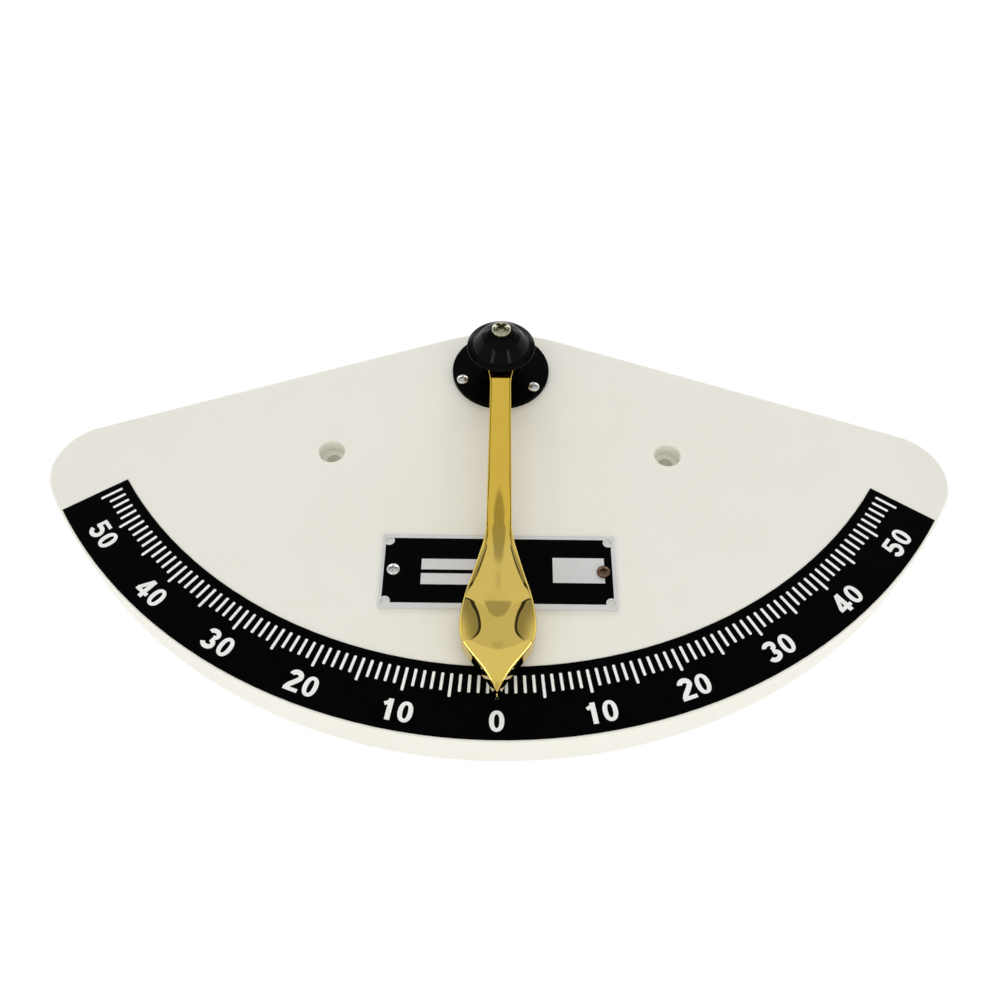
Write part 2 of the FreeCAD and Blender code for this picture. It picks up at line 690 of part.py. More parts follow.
def make_hub_flange():
    """The black flange with its raised boss and three screw holes."""
    body = make_body("hub_flange", up=PIVOT_UP)
    revolve(body, (
        ("spindle_radius + screw_gap", "plate_depth"),
        ("flange_radius", "plate_depth"),
        ("flange_radius", "flange_top - flange_edge"),
        ("flange_radius - flange_edge", "flange_top"),
        ("flange_boss + flange_fillet", "flange_top"),
        ("flange_boss", "flange_top + flange_fillet"),
        ("flange_boss", "flange_boss_top - edge_break"),
        ("flange_boss - edge_break", "flange_boss_top"),
        ("spindle_radius + screw_gap", "flange_boss_top"),
    ), "turned_flange")
    centre = make_sketch(body, "flange_axis_sketch", offset="flange_top")
    hole = make_sketch(body, "flange_hole_sketch", offset="flange_top")
    add_circle(hole, "small_shank + screw_gap",
               "flange_screw_circle * cos(flange_screw_angle * 1deg)",
               "flange_screw_circle * sin(flange_screw_angle * 1deg)")
    first = pocket(body, hole, "flange_top - plate_depth", "flange_hole")
    repeat_round(body, first, centre, "3", "360", "flange_holes", growing=False)
    return body


def make_spindle():
    """The fixed steel spindle: tail, body, clamping collar, shoulder and journal."""
    body = make_body("spindle", up=PIVOT_UP)
    revolve(body, (
        ("0", "spindle_tail_end"),
        ("spindle_tail - edge_break", "spindle_tail_end"),
        ("spindle_tail", "spindle_tail_end + edge_break"),
        ("spindle_tail", "pivot_seat + edge_break"),
        ("spindle_radius", "pivot_seat + edge_break"),
        ("spindle_radius", "flange_boss_top"),
        ("collar_radius", "flange_boss_top"),
        ("collar_radius", "collar_top"),
        ("shoulder_radius", "collar_top"),
        ("shoulder_radius", "bearing_back"),
        ("journal_radius", "bearing_back"),
        ("journal_radius", "journal_end - edge_break / 2"),
        ("journal_radius - edge_break / 2", "journal_end"),
        ("cap_thread", "journal_end"),
        ("cap_thread", "cap_thread_end"),
        ("0", "cap_thread_end - cap_thread / sqrt(3)"),
    ), "turned_spindle")
    return body


def make_bearing_ring(label, edge, seat):
    """One ring of the bearing, with the groove that the balls run in."""
    body = make_body(label, up=PIVOT_UP)
    low, high = "bearing_back", "bearing_back + bearing_width"
    middle = "bearing_back + bearing_width / 2"
    half = "sqrt(groove_radius ^ 2 - (ball_circle - %s) ^ 2)" % edge
    inward = value(seat) < value(edge)
    bend = "-(groove_radius)" if inward else "(groove_radius)"
    profile = [(seat, low), (edge, low), (edge, "%s - %s" % (middle, half), bend),
               (edge, "%s + %s" % (middle, half)), (edge, high), (seat, high)]
    revolve(body, profile, label + "_turned")
    return body


def make_balls():
    """The ring of balls."""
    ball = document.addObject("Part::Sphere", "bearing_ball")
    bind(ball, "Radius", "ball_radius")
    bind(ball, "Placement.Base.x", "ball_circle")
    bind(ball, "Placement.Base.z", "bearing_back + bearing_width / 2")
    document.recompute()
    return group_round("bearing_balls", ball.Shape, value("ball_count"))


def make_cage():
    """The cage that spaces the balls: a ring with one square window for each ball."""
    body = make_body("bearing_cage", up=PIVOT_UP)
    low = "bearing_back + (bearing_width - cage_width) / 2"
    revolve(body, (("cage_inner", low), ("cage_outer", low), ("cage_outer", low + " + cage_width"),
                   ("cage_inner", low + " + cage_width")), "cage_ring")
    window = make_sketch(body, "window_sketch", "YZ_Plane")
    middle = "bearing_back + bearing_width / 2"
    add_rectangle(window, "-cage_window", "cage_window", middle + " - cage_window",
                  middle + " + cage_window")
    first = pocket(body, window, "bearing_radius", "window", towards_reader=True)
    centre = make_sketch(body, "cage_axis_sketch")
    repeat_round(body, first, centre, "ball_count", "360", "windows", growing=False)
    return body


def make_shields():
    """Two thin shields, one in each face of the bearing's outer ring."""
    body = make_body("bearing_shields", up=PIVOT_UP)
    for name, start in (("back", "bearing_back + shield_inset"),
                        ("front", "bearing_back + bearing_width - shield_inset - shield_thick")):
        sketch = make_sketch(body, name + "_shield_sketch", offset=start)
        add_circle(sketch, "outer_race_edge")
        add_circle(sketch, "shield_inner")
        pad(body, sketch, "shield_thick", name + "_shield")
    return body


def make_hub_cap():
    """The black cap: a two-step cone on a brim, with a nose onto the inner ring."""
    body = make_body("hub_cap", up=PIVOT_UP)
    revolve(body, (
        ("cap_bore", "bearing_back + bearing_width"),
        ("cap_nose", "bearing_back + bearing_width"),
        ("cap_nose", "cap_floor"),
        ("cap_rim_radius - cap_rim_break", "cap_floor"),
        ("cap_rim_radius", "cap_floor + cap_rim_break"),
        ("cap_rim_radius", "cap_rim_high"),
        ("cap_brim", "cap_brim_high"),
        ("cap_foot", "cap_foot_high"),
        ("cap_middle", "cap_middle_high"),
        ("cap_crown", "cap_crown_high"),
        ("cap_top_radius", "cap_top"),
        ("cap_bore", "cap_top"),
    ), "turned_cap")
    return body


def make_cap_screw():
    """The brass screw that holds the cap to the spindle."""
    body = make_body("cap_screw", up=PIVOT_UP)
    pan_screw(body, "cap_top", "cap_thread", "cap_screw_long", "cap_screw_head", "cap_screw_side",
              "cap_screw_high", "cap_screw_crown")
    return body


def make_washer():
    """The washer behind the plate."""
    body = make_body("spindle_washer", up=PIVOT_UP)
    sketch = make_sketch(body, "washer_sketch", offset="pivot_seat - washer_thick")
    add_circle(sketch, "washer_radius")
    add_circle(sketch, "washer_bore")
    pad(body, sketch, "washer_thick", "washer")
    return body


def make_nut():
    """The hexagon nut on the spindle's tail, its corners chamfered at the back."""
    body = make_body("spindle_nut", up=PIVOT_UP)
    top = "pivot_seat - washer_thick"
    sketch = make_sketch(body, "nut_sketch", offset="%s - nut_high" % top)
    corner, half_corner = "nut_half_flat / cos(30 * 1deg)", "nut_half_flat * tan(30 * 1deg)"
    add_profile(sketch, (
        (corner, "0"), (half_corner, "nut_half_flat"), ("-" + half_corner, "nut_half_flat"),
        ("-" + corner, "0"), ("-" + half_corner, "-nut_half_flat"), (half_corner, "-nut_half_flat"),
    ))
    pad(body, sketch, "nut_high", "hexagon")
    cutter = make_sketch(body, "nut_chamfer_sketch", "XZ_Plane")
    back = "%s - nut_high" % top
    add_profile(cutter, (("nut_half_flat", back), (corner + " + edge_break", back),
                         (corner + " + edge_break", back + " + nut_chamfer")))
    document.recompute()
    before = body.Shape.Volume
    chamfer = body.newObject("PartDesign::Groove", "corner_chamfer")
    chamfer.Profile = cutter
    chamfer.ReferenceAxis = (cutter, ["V_Axis"])
    chamfer.Angle = FULL_TURN
    check_change(body, before, False)
    bore = make_sketch(body, "nut_bore_sketch", offset=top)
    add_circle(bore, "spindle_tail")
    pocket(body, bore, "nut_high", "nut_bore")
    return body


# ---- the pendulum --------------------------------------------------------

def make_pendulum_arm():
    """The eye, its concave root and the bevelled arm, as one milled bar."""
    body = make_body("pendulum_arm_blank", up=PIVOT_UP)
    sketch = make_sketch(body, "arm_outline", offset="eye_back")
    meet = "sqrt((eye_radius + root_round) ^ 2 - (arm_top + root_round) ^ 2)"
    touch_x = "(arm_top + root_round) * eye_radius / (eye_radius + root_round)"
    touch_y = "-(%s) * eye_radius / (eye_radius + root_round)" % meet
    add_profile(sketch, (
        ("0", "eye_radius", "(eye_radius)"),
        ("-(eye_radius)", "0", "(eye_radius)"),
        ("-(%s)" % touch_x, touch_y, "-(root_round)"),
        ("-(arm_top)", "-(%s)" % meet),
        ("-(arm_half)", "-(arm_end)"),
        ("arm_half", "-(arm_end)"),
        ("arm_top", "-(%s)" % meet, "-(root_round)"),
        (touch_x, touch_y, "(eye_radius)"),
        ("eye_radius", "0", "(eye_radius)"),
    ))
    pad(body, sketch, "eye_front - eye_back", "arm_bar")
    front, end = value("eye_front"), value("arm_end")

    def on_front(point):
        return abs(local(body, point).z - front) < 0.01

    def at_end(edge_points):
        return all(abs(local(body, point).y + end) < 0.01 for point in edge_points)
    names = [name for name in edges_where(body.Shape, on_front)
             if not at_end(body.Shape.getElement(name).discretize(3))]
    soften(body, "Chamfer", names, "arm_bevel", "bevel")
    seat = make_sketch(body, "bearing_seat_sketch", offset="eye_front")
    add_circle(seat, "bearing_radius")
    pocket(body, seat, "eye_front - bearing_back", "bearing_seat")
    lip = make_sketch(body, "lip_sketch", offset="eye_front")
    add_circle(lip, "eye_lip")
    pocket(body, lip, "eye_front - eye_back", "lip_bore")
    return body


def bob_height(distance):
    """Heights of the bob's crown, ridge and back at a distance from the pivot."""
    start, tip = value("arm_end"), value("tip_reach")
    crown, peak, ridge = value("bob_crown"), value("bob_peak"), value("bob_ridge")
    end, end_height = (start, value("eye_front")) if distance < peak else (tip, ridge + TIP_EDGE)
    fall = (crown - end_height) * ((distance - peak) / (end - peak)) ** 2
    blend = min(1, (distance - start) / value("bob_blend"))
    ease = blend * blend * (3 - 2 * blend)
    bevel_low = value("eye_front - arm_bevel")
    back = value("eye_back") + (value("bob_back") - value("eye_back")) * ease
    return crown - fall, bevel_low + (ridge - bevel_low) * ease, back


def bob_section(distance, half):
    """A closed section: flat back, upright sides and a front that grows from bevels to a crown."""
    crown, ridge, back = bob_height(distance)
    blend = min(1, (distance - value("arm_end")) / value("bob_blend"))
    flat = min(value("arm_half - arm_bevel") * (1 - blend) + FLAT_LEFT * blend,
               half * (1 - blend * FLAT_SHRINK))
    lower = max(0, (distance - value("bob_peak")) / value("tip_reach - bob_peak"))
    power = CROWN_POWER + (TIP_POWER - CROWN_POWER) * lower

    def spot(across, height):
        return FreeCAD.Vector(across, -distance, height)

    def front_edge(side):
        points = []
        for step in range(FRONT_STEPS + 1):
            part = step / FRONT_STEPS
            fall = (1 - blend) * part + blend * part ** power
            points.append(spot(side * (flat + (half - flat) * part), crown - (crown - ridge) * fall))
        curve = Part.BSplineCurve()
        curve.interpolate(points if side > 0 else points[::-1])
        return curve.toShape()

    return Part.Wire([
        Part.makeLine(spot(-half, ridge), spot(-half, back)),
        Part.makeLine(spot(-half, back), spot(half, back)),
        Part.makeLine(spot(half, back), spot(half, ridge)),
        front_edge(1).reversed(),
        Part.makeLine(spot(flat, crown), spot(-flat, crown)),
        front_edge(-1).reversed(),
    ])


def make_pendulum():
    """One brass casting: eye, arm and a bob whose tip is the pointer."""
    arm = make_pendulum_arm()
    half, middle = value("bob_half"), value("bob_centre")
    stations = [(value("arm_end"), value("arm_half"))]
    stations += [(middle + step, half * share) for step, share in BOB_PLAN]
    stations.append((value("tip_reach"), value("tip_half")))
    bob = document.addObject("Part::Feature", "pendulum_bob_blank")
    bob.Shape = Part.makeLoft([bob_section(*station) for station in stations], True, False)
    bob.Placement = FreeCAD.Placement(FreeCAD.Vector(0, 0, value(PIVOT_UP)), UPRIGHT)
    pendulum = document.addObject("Part::Fuse", "pendulum")
    pendulum.Base = arm
    pendulum.Tool = bob
    document.recompute()
    return pendulum


# ---- the whole instrument ------------------------------------------------

def make_everything():
    """Build every sub-part in the order it would be fitted."""
    return (
        make_backplate(), make_scale_band(), make_graduations(), make_name_plate(),
        make_name_plate_screw("name_plate_screw_left", -1),
        make_name_plate_screw("name_plate_screw_right", 1),
        make_hub_flange(), make_flange_screws(), make_spindle(), make_washer(), make_nut(),
        make_bearing_ring("bearing_inner_ring", "inner_race_edge", "journal_radius"),
        make_balls(), make_cage(),
        make_bearing_ring("bearing_outer_ring", "outer_race_edge", "bearing_radius"),
        make_shields(), make_pendulum(), make_hub_cap(), make_cap_screw(),
    )


def check_document():
    """Stop if any object of the document failed to compute."""
    for item in document.Objects:
        failed = {"Invalid", "Error"} & set(item.State)
        if failed:
            raise RuntimeError("%s: %s" % (item.Name, ", ".join(failed)))


def export(sub_parts):
    """Write each sub-part to its own file, after checking its shape."""
    os.makedirs("parts", exist_ok=True)
    for item in sub_parts:
        if item.Shape.isNull() or not item.Shape.isValid():
            raise RuntimeError("%s has no valid shape" % item.Label)
    for item in sub_parts:
        item.Shape.exportStep("parts/%s.step" % item.Label)
        box = item.Shape.BoundBox
        print("%-24s solids %3d  volume %10.1f  x %7.2f..%7.2f  y %7.2f..%7.2f  z %8.2f..%8.2f" % (
            item.Label, len(item.Shape.Solids), item.Shape.Volume,
            box.XMin, box.XMax, box.YMin, box.YMax, box.ZMin, box.ZMax))


sub_parts = make_everything()
document.recompute()
check_document()
export(sub_parts)
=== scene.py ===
import json
import logging
from abc import ABC, abstractmethod
from dataclasses import dataclass, field
from enum import Enum
from typing import Callable, Iterable, Sequence, Union

import bmesh
import bpy
import numpy as np
from mathutils import Matrix, Vector


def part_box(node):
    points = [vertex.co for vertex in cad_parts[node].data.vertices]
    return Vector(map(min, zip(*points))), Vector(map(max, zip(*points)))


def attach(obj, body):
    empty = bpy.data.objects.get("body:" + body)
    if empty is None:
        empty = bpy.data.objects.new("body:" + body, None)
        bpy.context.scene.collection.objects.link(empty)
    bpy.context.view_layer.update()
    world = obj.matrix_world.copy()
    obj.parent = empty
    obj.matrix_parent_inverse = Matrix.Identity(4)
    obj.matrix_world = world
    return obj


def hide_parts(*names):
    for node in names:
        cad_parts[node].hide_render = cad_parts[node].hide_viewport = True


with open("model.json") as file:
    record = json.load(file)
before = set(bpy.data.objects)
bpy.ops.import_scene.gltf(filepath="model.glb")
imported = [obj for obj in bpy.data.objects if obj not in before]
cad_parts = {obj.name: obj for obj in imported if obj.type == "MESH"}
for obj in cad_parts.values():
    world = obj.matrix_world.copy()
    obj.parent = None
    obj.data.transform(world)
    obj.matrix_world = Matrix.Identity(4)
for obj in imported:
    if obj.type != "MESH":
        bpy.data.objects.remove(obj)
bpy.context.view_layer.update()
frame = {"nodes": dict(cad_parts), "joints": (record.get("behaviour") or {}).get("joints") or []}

# A bulkhead inclinometer.  Row frame: +X to the reader's right, +Y into the
# bulkhead, +Z up.  The instrument's sizes are in millimetres and the studio's in
# metres.  "Height" always means distance from the plate's back plane towards the
# reader, and "across" and "up" lie in the plane of the plate.

MM = 0.001
TINY = 1e-9
MERGE_METRES = 1e-7
LOG = logging.getLogger("inclinometer")

Array = np.ndarray
Triple = tuple[float, float, float]
Colour = Triple
Number = Union[float, "Signal"]
Stroke = tuple[Array, Array, bool]


def grey(level: float) -> Colour:
    """A neutral colour of one level."""
    return (level, level, level)


# ---- places taken from the frame ----

class Body(Enum):
    """The rigid bodies that pieces ride on."""

    HOUSING = "housing"
    PENDULUM = "swinging_pendulum"


@dataclass(frozen=True)
class Layout:
    """Places that the sub-assemblies share, in millimetres."""

    RIM_RADIUS = 229.0

    pivot_up: float
    scale_up: float
    label_up: float
    plate_front: float
    band_front: float

    @classmethod
    def from_frame(cls) -> "Layout":
        """Read the places from the CAD frame."""
        swing = next(joint for joint in frame["joints"] if joint["name"] == "pendulum_swing")
        label_low, label_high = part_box("name_plate")
        band_low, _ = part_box("scale_band")
        plate_low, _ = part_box("backplate")
        return cls(
            pivot_up=swing["pos_m"][2] / MM,
            scale_up=plate_low.z / MM + cls.RIM_RADIUS,
            label_up=(label_low.z + label_high.z) / 2 / MM,
            plate_front=-plate_low.y / MM,
            band_front=-band_low.y / MM,
        )


LAYOUT = Layout.from_frame()


# ---- surfaces ----

def stand(across: Array, up: Array, height: Array) -> Array:
    """Put dial coordinates in the row frame.

    Args:
        across: Millimetres to the reader's right.
        up: Millimetres upwards.
        height: Millimetres from the back plane towards the reader.

    Returns:
        Points in metres, with the last axis x, y, z.
    """
    across, up, height = np.broadcast_arrays(across, up, height)
    return np.stack([across, -height, up], axis=-1) * MM


def fillet(corners: "Array | Sequence", setbacks: "Sequence[float | Array]", steps: int = 4,
           closed: bool = False) -> Array:
    """Round the corners of one or many polylines with quadratic curves.

    A point a little beyond each end of a curve keeps the flats beside it flat
    when the surface is shaded smooth.

    Args:
        corners: Corner points, shaped (..., corner, coordinate).
        setbacks: For each corner, how far from it the rounding starts: one number
            for every polyline, or an array with a number for each.
        steps: Straight pieces in each rounding.
        closed: Whether the last corner joins the first.

    Returns:
        The rounded polylines, shaped (..., point, coordinate).
    """
    longest_share, hold = 0.4, 1.15
    corners = np.asarray(corners, float)
    count = corners.shape[-2]
    blend = np.linspace(0, 1, steps + 1)[:, None]
    pieces = []
    for index, setback in enumerate(setbacks):
        corner = corners[..., index, :]
        end = not closed and index in (0, count - 1)
        if end or np.all(setback == 0):
            pieces.append(corner[..., None, :])
            continue
        starts, holds = [], []
        for neighbour in (corners[..., index - 1, :], corners[..., (index + 1) % count, :]):
            along = neighbour - corner
            length = np.maximum(np.linalg.norm(along, axis=-1, keepdims=True), TINY)
            reach = np.minimum(setback, longest_share * length)
            starts.append((corner + along / length * reach)[..., None, :])
            holds.append((corner + along / length * reach * hold)[..., None, :])
        before, after = starts
        middle = corner[..., None, :]
        pieces.append(holds[0])
        pieces.append(before * (1 - blend) ** 2 + middle * 2 * blend * (1 - blend)
                      + after * blend ** 2)
        pieces.append(holds[1])
    return np.concatenate(pieces, axis=-2)


@dataclass
class Surface:
    """A grid of points in metres, shaped (rows, columns, 3); every row is a loop."""

    points: Array
    closed_rows: bool = False

    def faces(self, start: int) -> Array:
        """Quads between neighbouring rows and columns, numbered from start."""
        rows, columns = self.points.shape[:2]
        index = np.arange(rows * columns).reshape(rows, columns) + start
        if self.closed_rows:
            index = np.vstack([index, index[:1]])
        index = np.hstack([index, index[:, :1]])
        corners = (index[:-1, :-1], index[:-1, 1:], index[1:, 1:], index[1:, :-1])
        return np.stack(corners, -1).reshape(-1, 4)


def turned(profile: Array, across: float, up: float, closed: bool = False,
           steps: int = 160) -> Surface:
    """Turn a profile of (radius, height) about an axis that points at the reader.

    Args:
        profile: The points of the profile, in millimetres.
        across: Where the axis is, sideways.
        up: Where the axis is, up.
        closed: Whether the profile's last point joins its first.
        steps: Points round the axis.

    Returns:
        The turned surface.
    """
    turn = np.linspace(0, 2 * np.pi, steps, endpoint=False)
    radius, height = profile[:, :1], profile[:, 1:]
    points = stand(across + radius * np.cos(turn), up + radius * np.sin(turn), height)
    return Surface(points, closed_rows=closed)


def slab(inner: Array, outer: Array, low: float, high: float, closed: bool = True) -> Surface:
    """A thin solid between two plane paths of equal length.

    Args:
        inner: Points (across, up) along one side.
        outer: Points along the other side.
        low: Height of its back.
        high: Height of its front.
        closed: Whether the paths are loops.

    Returns:
        The four-sided tube that follows the paths.
    """
    sides = [stand(path[:, 0], path[:, 1], level) for path, level in
             ((inner, low), (inner, high), (outer, high), (outer, low))]
    return Surface(np.stack(sides, axis=1), closed_rows=closed)


# ---- pieces ----

def put(name: str, data: bpy.types.ID) -> bpy.types.Object:
    """Make an object of a mesh, a light or a camera, and put it in the scene."""
    made = bpy.data.objects.new(name, data)
    bpy.context.scene.collection.objects.link(made)
    return made


@dataclass
class Piece:
    """One visible piece: surfaces in one mesh, riding on a body."""

    SHARP_DEGREES = 32.0

    name: str
    slot: str
    finish: "Finish"
    replaces: tuple[str, ...] = ()
    body: Body = Body.HOUSING
    surfaces: list[Surface] = field(default_factory=list)

    def add(self, *surfaces: Surface) -> "Piece":
        """Add surfaces to the piece and return it."""
        self.surfaces.extend(surfaces)
        return self

    def build(self) -> bpy.types.Object:
        """Make the object, its normals and its material, and tie it to its body."""
        starts = np.cumsum([0] + [surface.points[..., 0].size for surface in self.surfaces])
        vertices = np.concatenate([surface.points.reshape(-1, 3) for surface in self.surfaces])
        quads = np.concatenate([surface.faces(start)
                                for surface, start in zip(self.surfaces, starts)])
        mesh = bpy.data.meshes.new(self.name)
        mesh.from_pydata(vertices.tolist(), [], quads.tolist())
        self._close(mesh)
        mesh.shade_smooth()
        mesh.set_sharp_from_angle(angle=np.radians(self.SHARP_DEGREES))
        piece = put(self.name, mesh)
        mesh.materials.append(self.finish.material())
        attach(piece, self.body.value)
        if self.replaces:
            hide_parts(*self.replaces)
        LOG.info("%s: %d faces", self.name, len(mesh.polygons))
        return piece

    @staticmethod
    def _close(mesh: bpy.types.Mesh) -> None:
        """Merge coincident points, cap open rims and turn every face outwards."""
        shape = bmesh.new()
        shape.from_mesh(mesh)
        bmesh.ops.remove_doubles(shape, verts=shape.verts, dist=MERGE_METRES)
        bmesh.ops.holes_fill(shape, edges=[edge for edge in shape.edges if edge.is_boundary])
        bmesh.ops.recalc_face_normals(shape, faces=shape.faces)
        shape.to_mesh(mesh)
        shape.free()


# ---- node trees ----

def arithmetic(name: str, swapped: bool = False) -> "Callable[..., Signal]":
    """A method of Signal that applies one arithmetic operation.

    Args:
        name: Blender's name for the operation.
        swapped: Whether the signal is the second value.

    Returns:
        The method.
    """
    def apply(signal: "Signal", *others: Number) -> "Signal":
        values = (*others, signal) if swapped else (signal, *others)
        made = signal.graph.node("ShaderNodeMath", {"operation": name}, dict(enumerate(values)))
        return Signal(signal.graph, made.outputs[0])
    return apply


class Signal:
    """A value that flows through a node tree, with ordinary arithmetic."""

    def __init__(self, graph: "Graph", socket: bpy.types.NodeSocket) -> None:
        self.graph = graph
        self.socket = socket

    __add__ = arithmetic("ADD")
    __radd__ = arithmetic("ADD", swapped=True)
    __sub__ = arithmetic("SUBTRACT")
    __rsub__ = arithmetic("SUBTRACT", swapped=True)
    __mul__ = arithmetic("MULTIPLY")
    __rmul__ = arithmetic("MULTIPLY", swapped=True)
    __truediv__ = arithmetic("DIVIDE")
    __abs__ = arithmetic("ABSOLUTE")
    least = arithmetic("MINIMUM")
    most = arithmetic("MAXIMUM")
    power = arithmetic("POWER")
    sine = arithmetic("SINE")

    def ramp(self, low: float, high: float) -> "Signal":
        """Zero up to low, one from high on, and smooth between; high may be below low."""
        made = self.graph.node("ShaderNodeMapRange", {"interpolation_type": "SMOOTHSTEP"},
                               {"Value": self, "From Min": low, "From Max": high})
        return Signal(self.graph, made.outputs["Result"])


class Graph:
    """Builds the node tree of one material or of the world."""

    MIX_FIRST, MIX_SECOND, MIX_RESULT = 6, 7, 2

    def __init__(self, tree: bpy.types.NodeTree) -> None:
        self.tree = tree
        self.tree.nodes.clear()

    def node(self, kind: str, settings: dict | None = None,
             inputs: dict | None = None) -> bpy.types.Node:
        """Add a node.

        Args:
            kind: Its Blender type.
            settings: Attributes to set on it.
            inputs: Socket values or signals, by socket name or number.

        Returns:
            The node.
        """
        made = self.tree.nodes.new(kind)
        for name, value in (settings or {}).items():
            setattr(made, name, value)
        for key, value in (inputs or {}).items():
            self.feed(made.inputs[key], value)
        return made

    def feed(self, socket: bpy.types.NodeSocket, value: object) -> None:
        """Link a signal to a socket, or set the socket's own value."""
        if isinstance(value, Signal):
            self.tree.links.new(value.socket, socket)
        elif isinstance(value, tuple) and len(value) == 3 and socket.type == "RGBA":
            socket.default_value = (*value, 1.0)
        else:
            socket.default_value = value

    def place(self, kind: str = "Object") -> Signal:
        """The point in the row frame, in metres, or another kind of coordinates."""
        return Signal(self, self.node("ShaderNodeTexCoord").outputs[kind])

    def parts(self, kind: str = "Object") -> tuple[Signal, Signal, Signal]:
        """The three parts of the place."""
        made = self.node("ShaderNodeSeparateXYZ", inputs={"Vector": self.place(kind)})
        return tuple(Signal(self, output) for output in made.outputs)

    def noise(self, size: float, detail: float = 3.0, roughness: float = 0.55,
              across: float = 1.0, up: float = 1.0) -> Signal:
        """Cloudy noise between about zero and one.

        Args:
            size: Size of its blobs, in millimetres.
            detail: Octaves of finer noise.
            roughness: Strength of the finer octaves.
            across: What x is multiplied by; the blobs are drawn out where it is small.
            up: The same for z.

        Returns:
            The noise value.
        """
        place = self.node("ShaderNodeVectorMath", {"operation": "MULTIPLY"},
                          {0: self.place(), 1: (across, 1.0, up)})
        made = self.node("ShaderNodeTexNoise", inputs={
            "Vector": Signal(self, place.outputs["Vector"]), "Scale": 1 / (size * MM),
            "Detail": detail, "Roughness": roughness})
        return Signal(self, made.outputs["Fac"])

    def blend(self, factor: Number, first: object, second: object) -> Signal:
        """Mix two colours."""
        made = self.node("ShaderNodeMix", {"data_type": "RGBA"}, {"Factor": factor})
        self.feed(made.inputs[self.MIX_FIRST], first)
        self.feed(made.inputs[self.MIX_SECOND], second)
        return Signal(self, made.outputs[self.MIX_RESULT])

    def bump(self, height: Signal, depth: float, strength: float) -> Signal:
        """A normal from a relief in which one stands for a depth in millimetres."""
        made = self.node("ShaderNodeBump", inputs={
            "Height": height, "Distance": depth * MM, "Strength": strength})
        return Signal(self, made.outputs["Normal"])

    def finish(self, **inputs: object) -> None:
        """End the tree in a Principled shader with these inputs."""
        names = {key.replace("_", " "): value for key, value in inputs.items()}
        shader = self.node("ShaderNodeBsdfPrincipled", inputs=names)
        output = self.node("ShaderNodeOutputMaterial")
        self.tree.links.new(shader.outputs[0], output.inputs[0])


# ---- finishes ----

@dataclass(frozen=True)
class Finish(ABC):
    """A named surface finish that makes its material once."""

    name: str
    colour: Colour

    def material(self) -> bpy.types.Material:
        """The finish's material, made at first use."""
        full_name = self.name + "_finish"
        known = bpy.data.materials.get(full_name)
        if known is not None:
            return known
        made = bpy.data.materials.new(full_name)
        made.use_nodes = True
        self.shade(Graph(made.node_tree))
        return made

    @abstractmethod
    def shade(self, graph: Graph) -> None:
        """Fill the material's node tree."""


@dataclass(frozen=True)
class Moulding(Finish):
    """Satin moulded plastic with a faint mottle, fine random specks and a fine grain."""

    shade_colour: Colour
    roughness: float

    def shade(self, graph: Graph) -> None:
        """Mottle the colour and the gloss and add the mould's fine grain."""
        cloud = graph.noise(70, 4, 0.6).ramp(0.35, 0.7)
        flow = graph.noise(22, up=0.35).ramp(0.4, 0.75)
        speck = graph.noise(1.1, 2).ramp(0.69, 0.74)
        tone = cloud * 0.45 + flow * 0.2 + speck * 0.22
        grain = graph.noise(0.55) * 0.6 + graph.noise(6, 2) * 0.9
        graph.finish(
            Base_Color=graph.blend(tone, self.colour, self.shade_colour),
            Roughness=self.roughness + flow * 0.07 - cloud * 0.04,
            Specular_IOR_Level=0.42,
            Normal=graph.bump(grain, 0.02, 0.55),
        )


@dataclass(frozen=True)
class Print(Finish):
    """Screen-printed ink or film: flat colour, fine tooth, slightly uneven gloss."""

    worn_colour: Colour
    roughness: float
    sheen: float = 0.5

    def shade(self, graph: Graph) -> None:
        """Vary the ink's density and gloss."""
        density = graph.noise(9, 4, 0.65).ramp(0.42, 0.8)
        tooth = graph.noise(0.25, 2)
        graph.finish(
            Base_Color=graph.blend(density * 0.6, self.colour, self.worn_colour),
            Roughness=self.roughness + density * 0.1,
            Specular_IOR_Level=self.sheen,
            Normal=graph.bump(tooth, 0.004, 0.6),
        )


class Lay(Enum):
    """Which way the tool marks of a metal run."""

    CAST = "polished by hand"
    TURNED = "round the pivot axis"
    PLAIN = "none"


@dataclass(frozen=True)
class Metal(Finish):
    """Bare or plated metal with tool marks and tarnish."""

    tarnish: Colour
    roughness: float
    lay: Lay
    mark_depth: float = 0.002
    tarnish_amount: float = 0.35

    def shade(self, graph: Graph) -> None:
        """Mix in tarnish, and roughen and groove the surface along its lay."""
        cloud = graph.noise(14, 4, 0.6).ramp(0.4, 0.78)
        marks = self._marks(graph)
        smear = graph.noise(1.6, up=0.12).ramp(0.45, 0.8)
        bare = self._bare(graph)
        graph.finish(
            Base_Color=graph.blend(cloud * self.tarnish_amount, bare, self.tarnish),
            Metallic=1.0,
            Roughness=self.roughness * (1.0 + cloud * 0.5 + smear * 0.5),
            Normal=graph.bump(marks, self.mark_depth, 0.8),
        )

    def _bare(self, graph: Graph) -> "Signal | Colour":
        """The metal's colour without tarnish."""
        return self.colour

    def _marks(self, graph: Graph) -> Signal:
        """The relief left by the tool."""
        if self.lay is Lay.TURNED:
            across, _, up = graph.parts()
            aside = up - LAYOUT.pivot_up * MM
            radius = (across * across + aside * aside).power(0.5)
            ring_pitch = 0.22 * MM
            rings = (radius * (2 * np.pi / ring_pitch)).sine()
            return rings * 0.3 + graph.noise(0.5, 2)
        if self.lay is Lay.CAST:
            return graph.noise(9, 1, 0.3, up=0.5) * 6.0 + graph.noise(0.35, 2, up=0.05) * 0.1
        return graph.noise(0.6, 2)


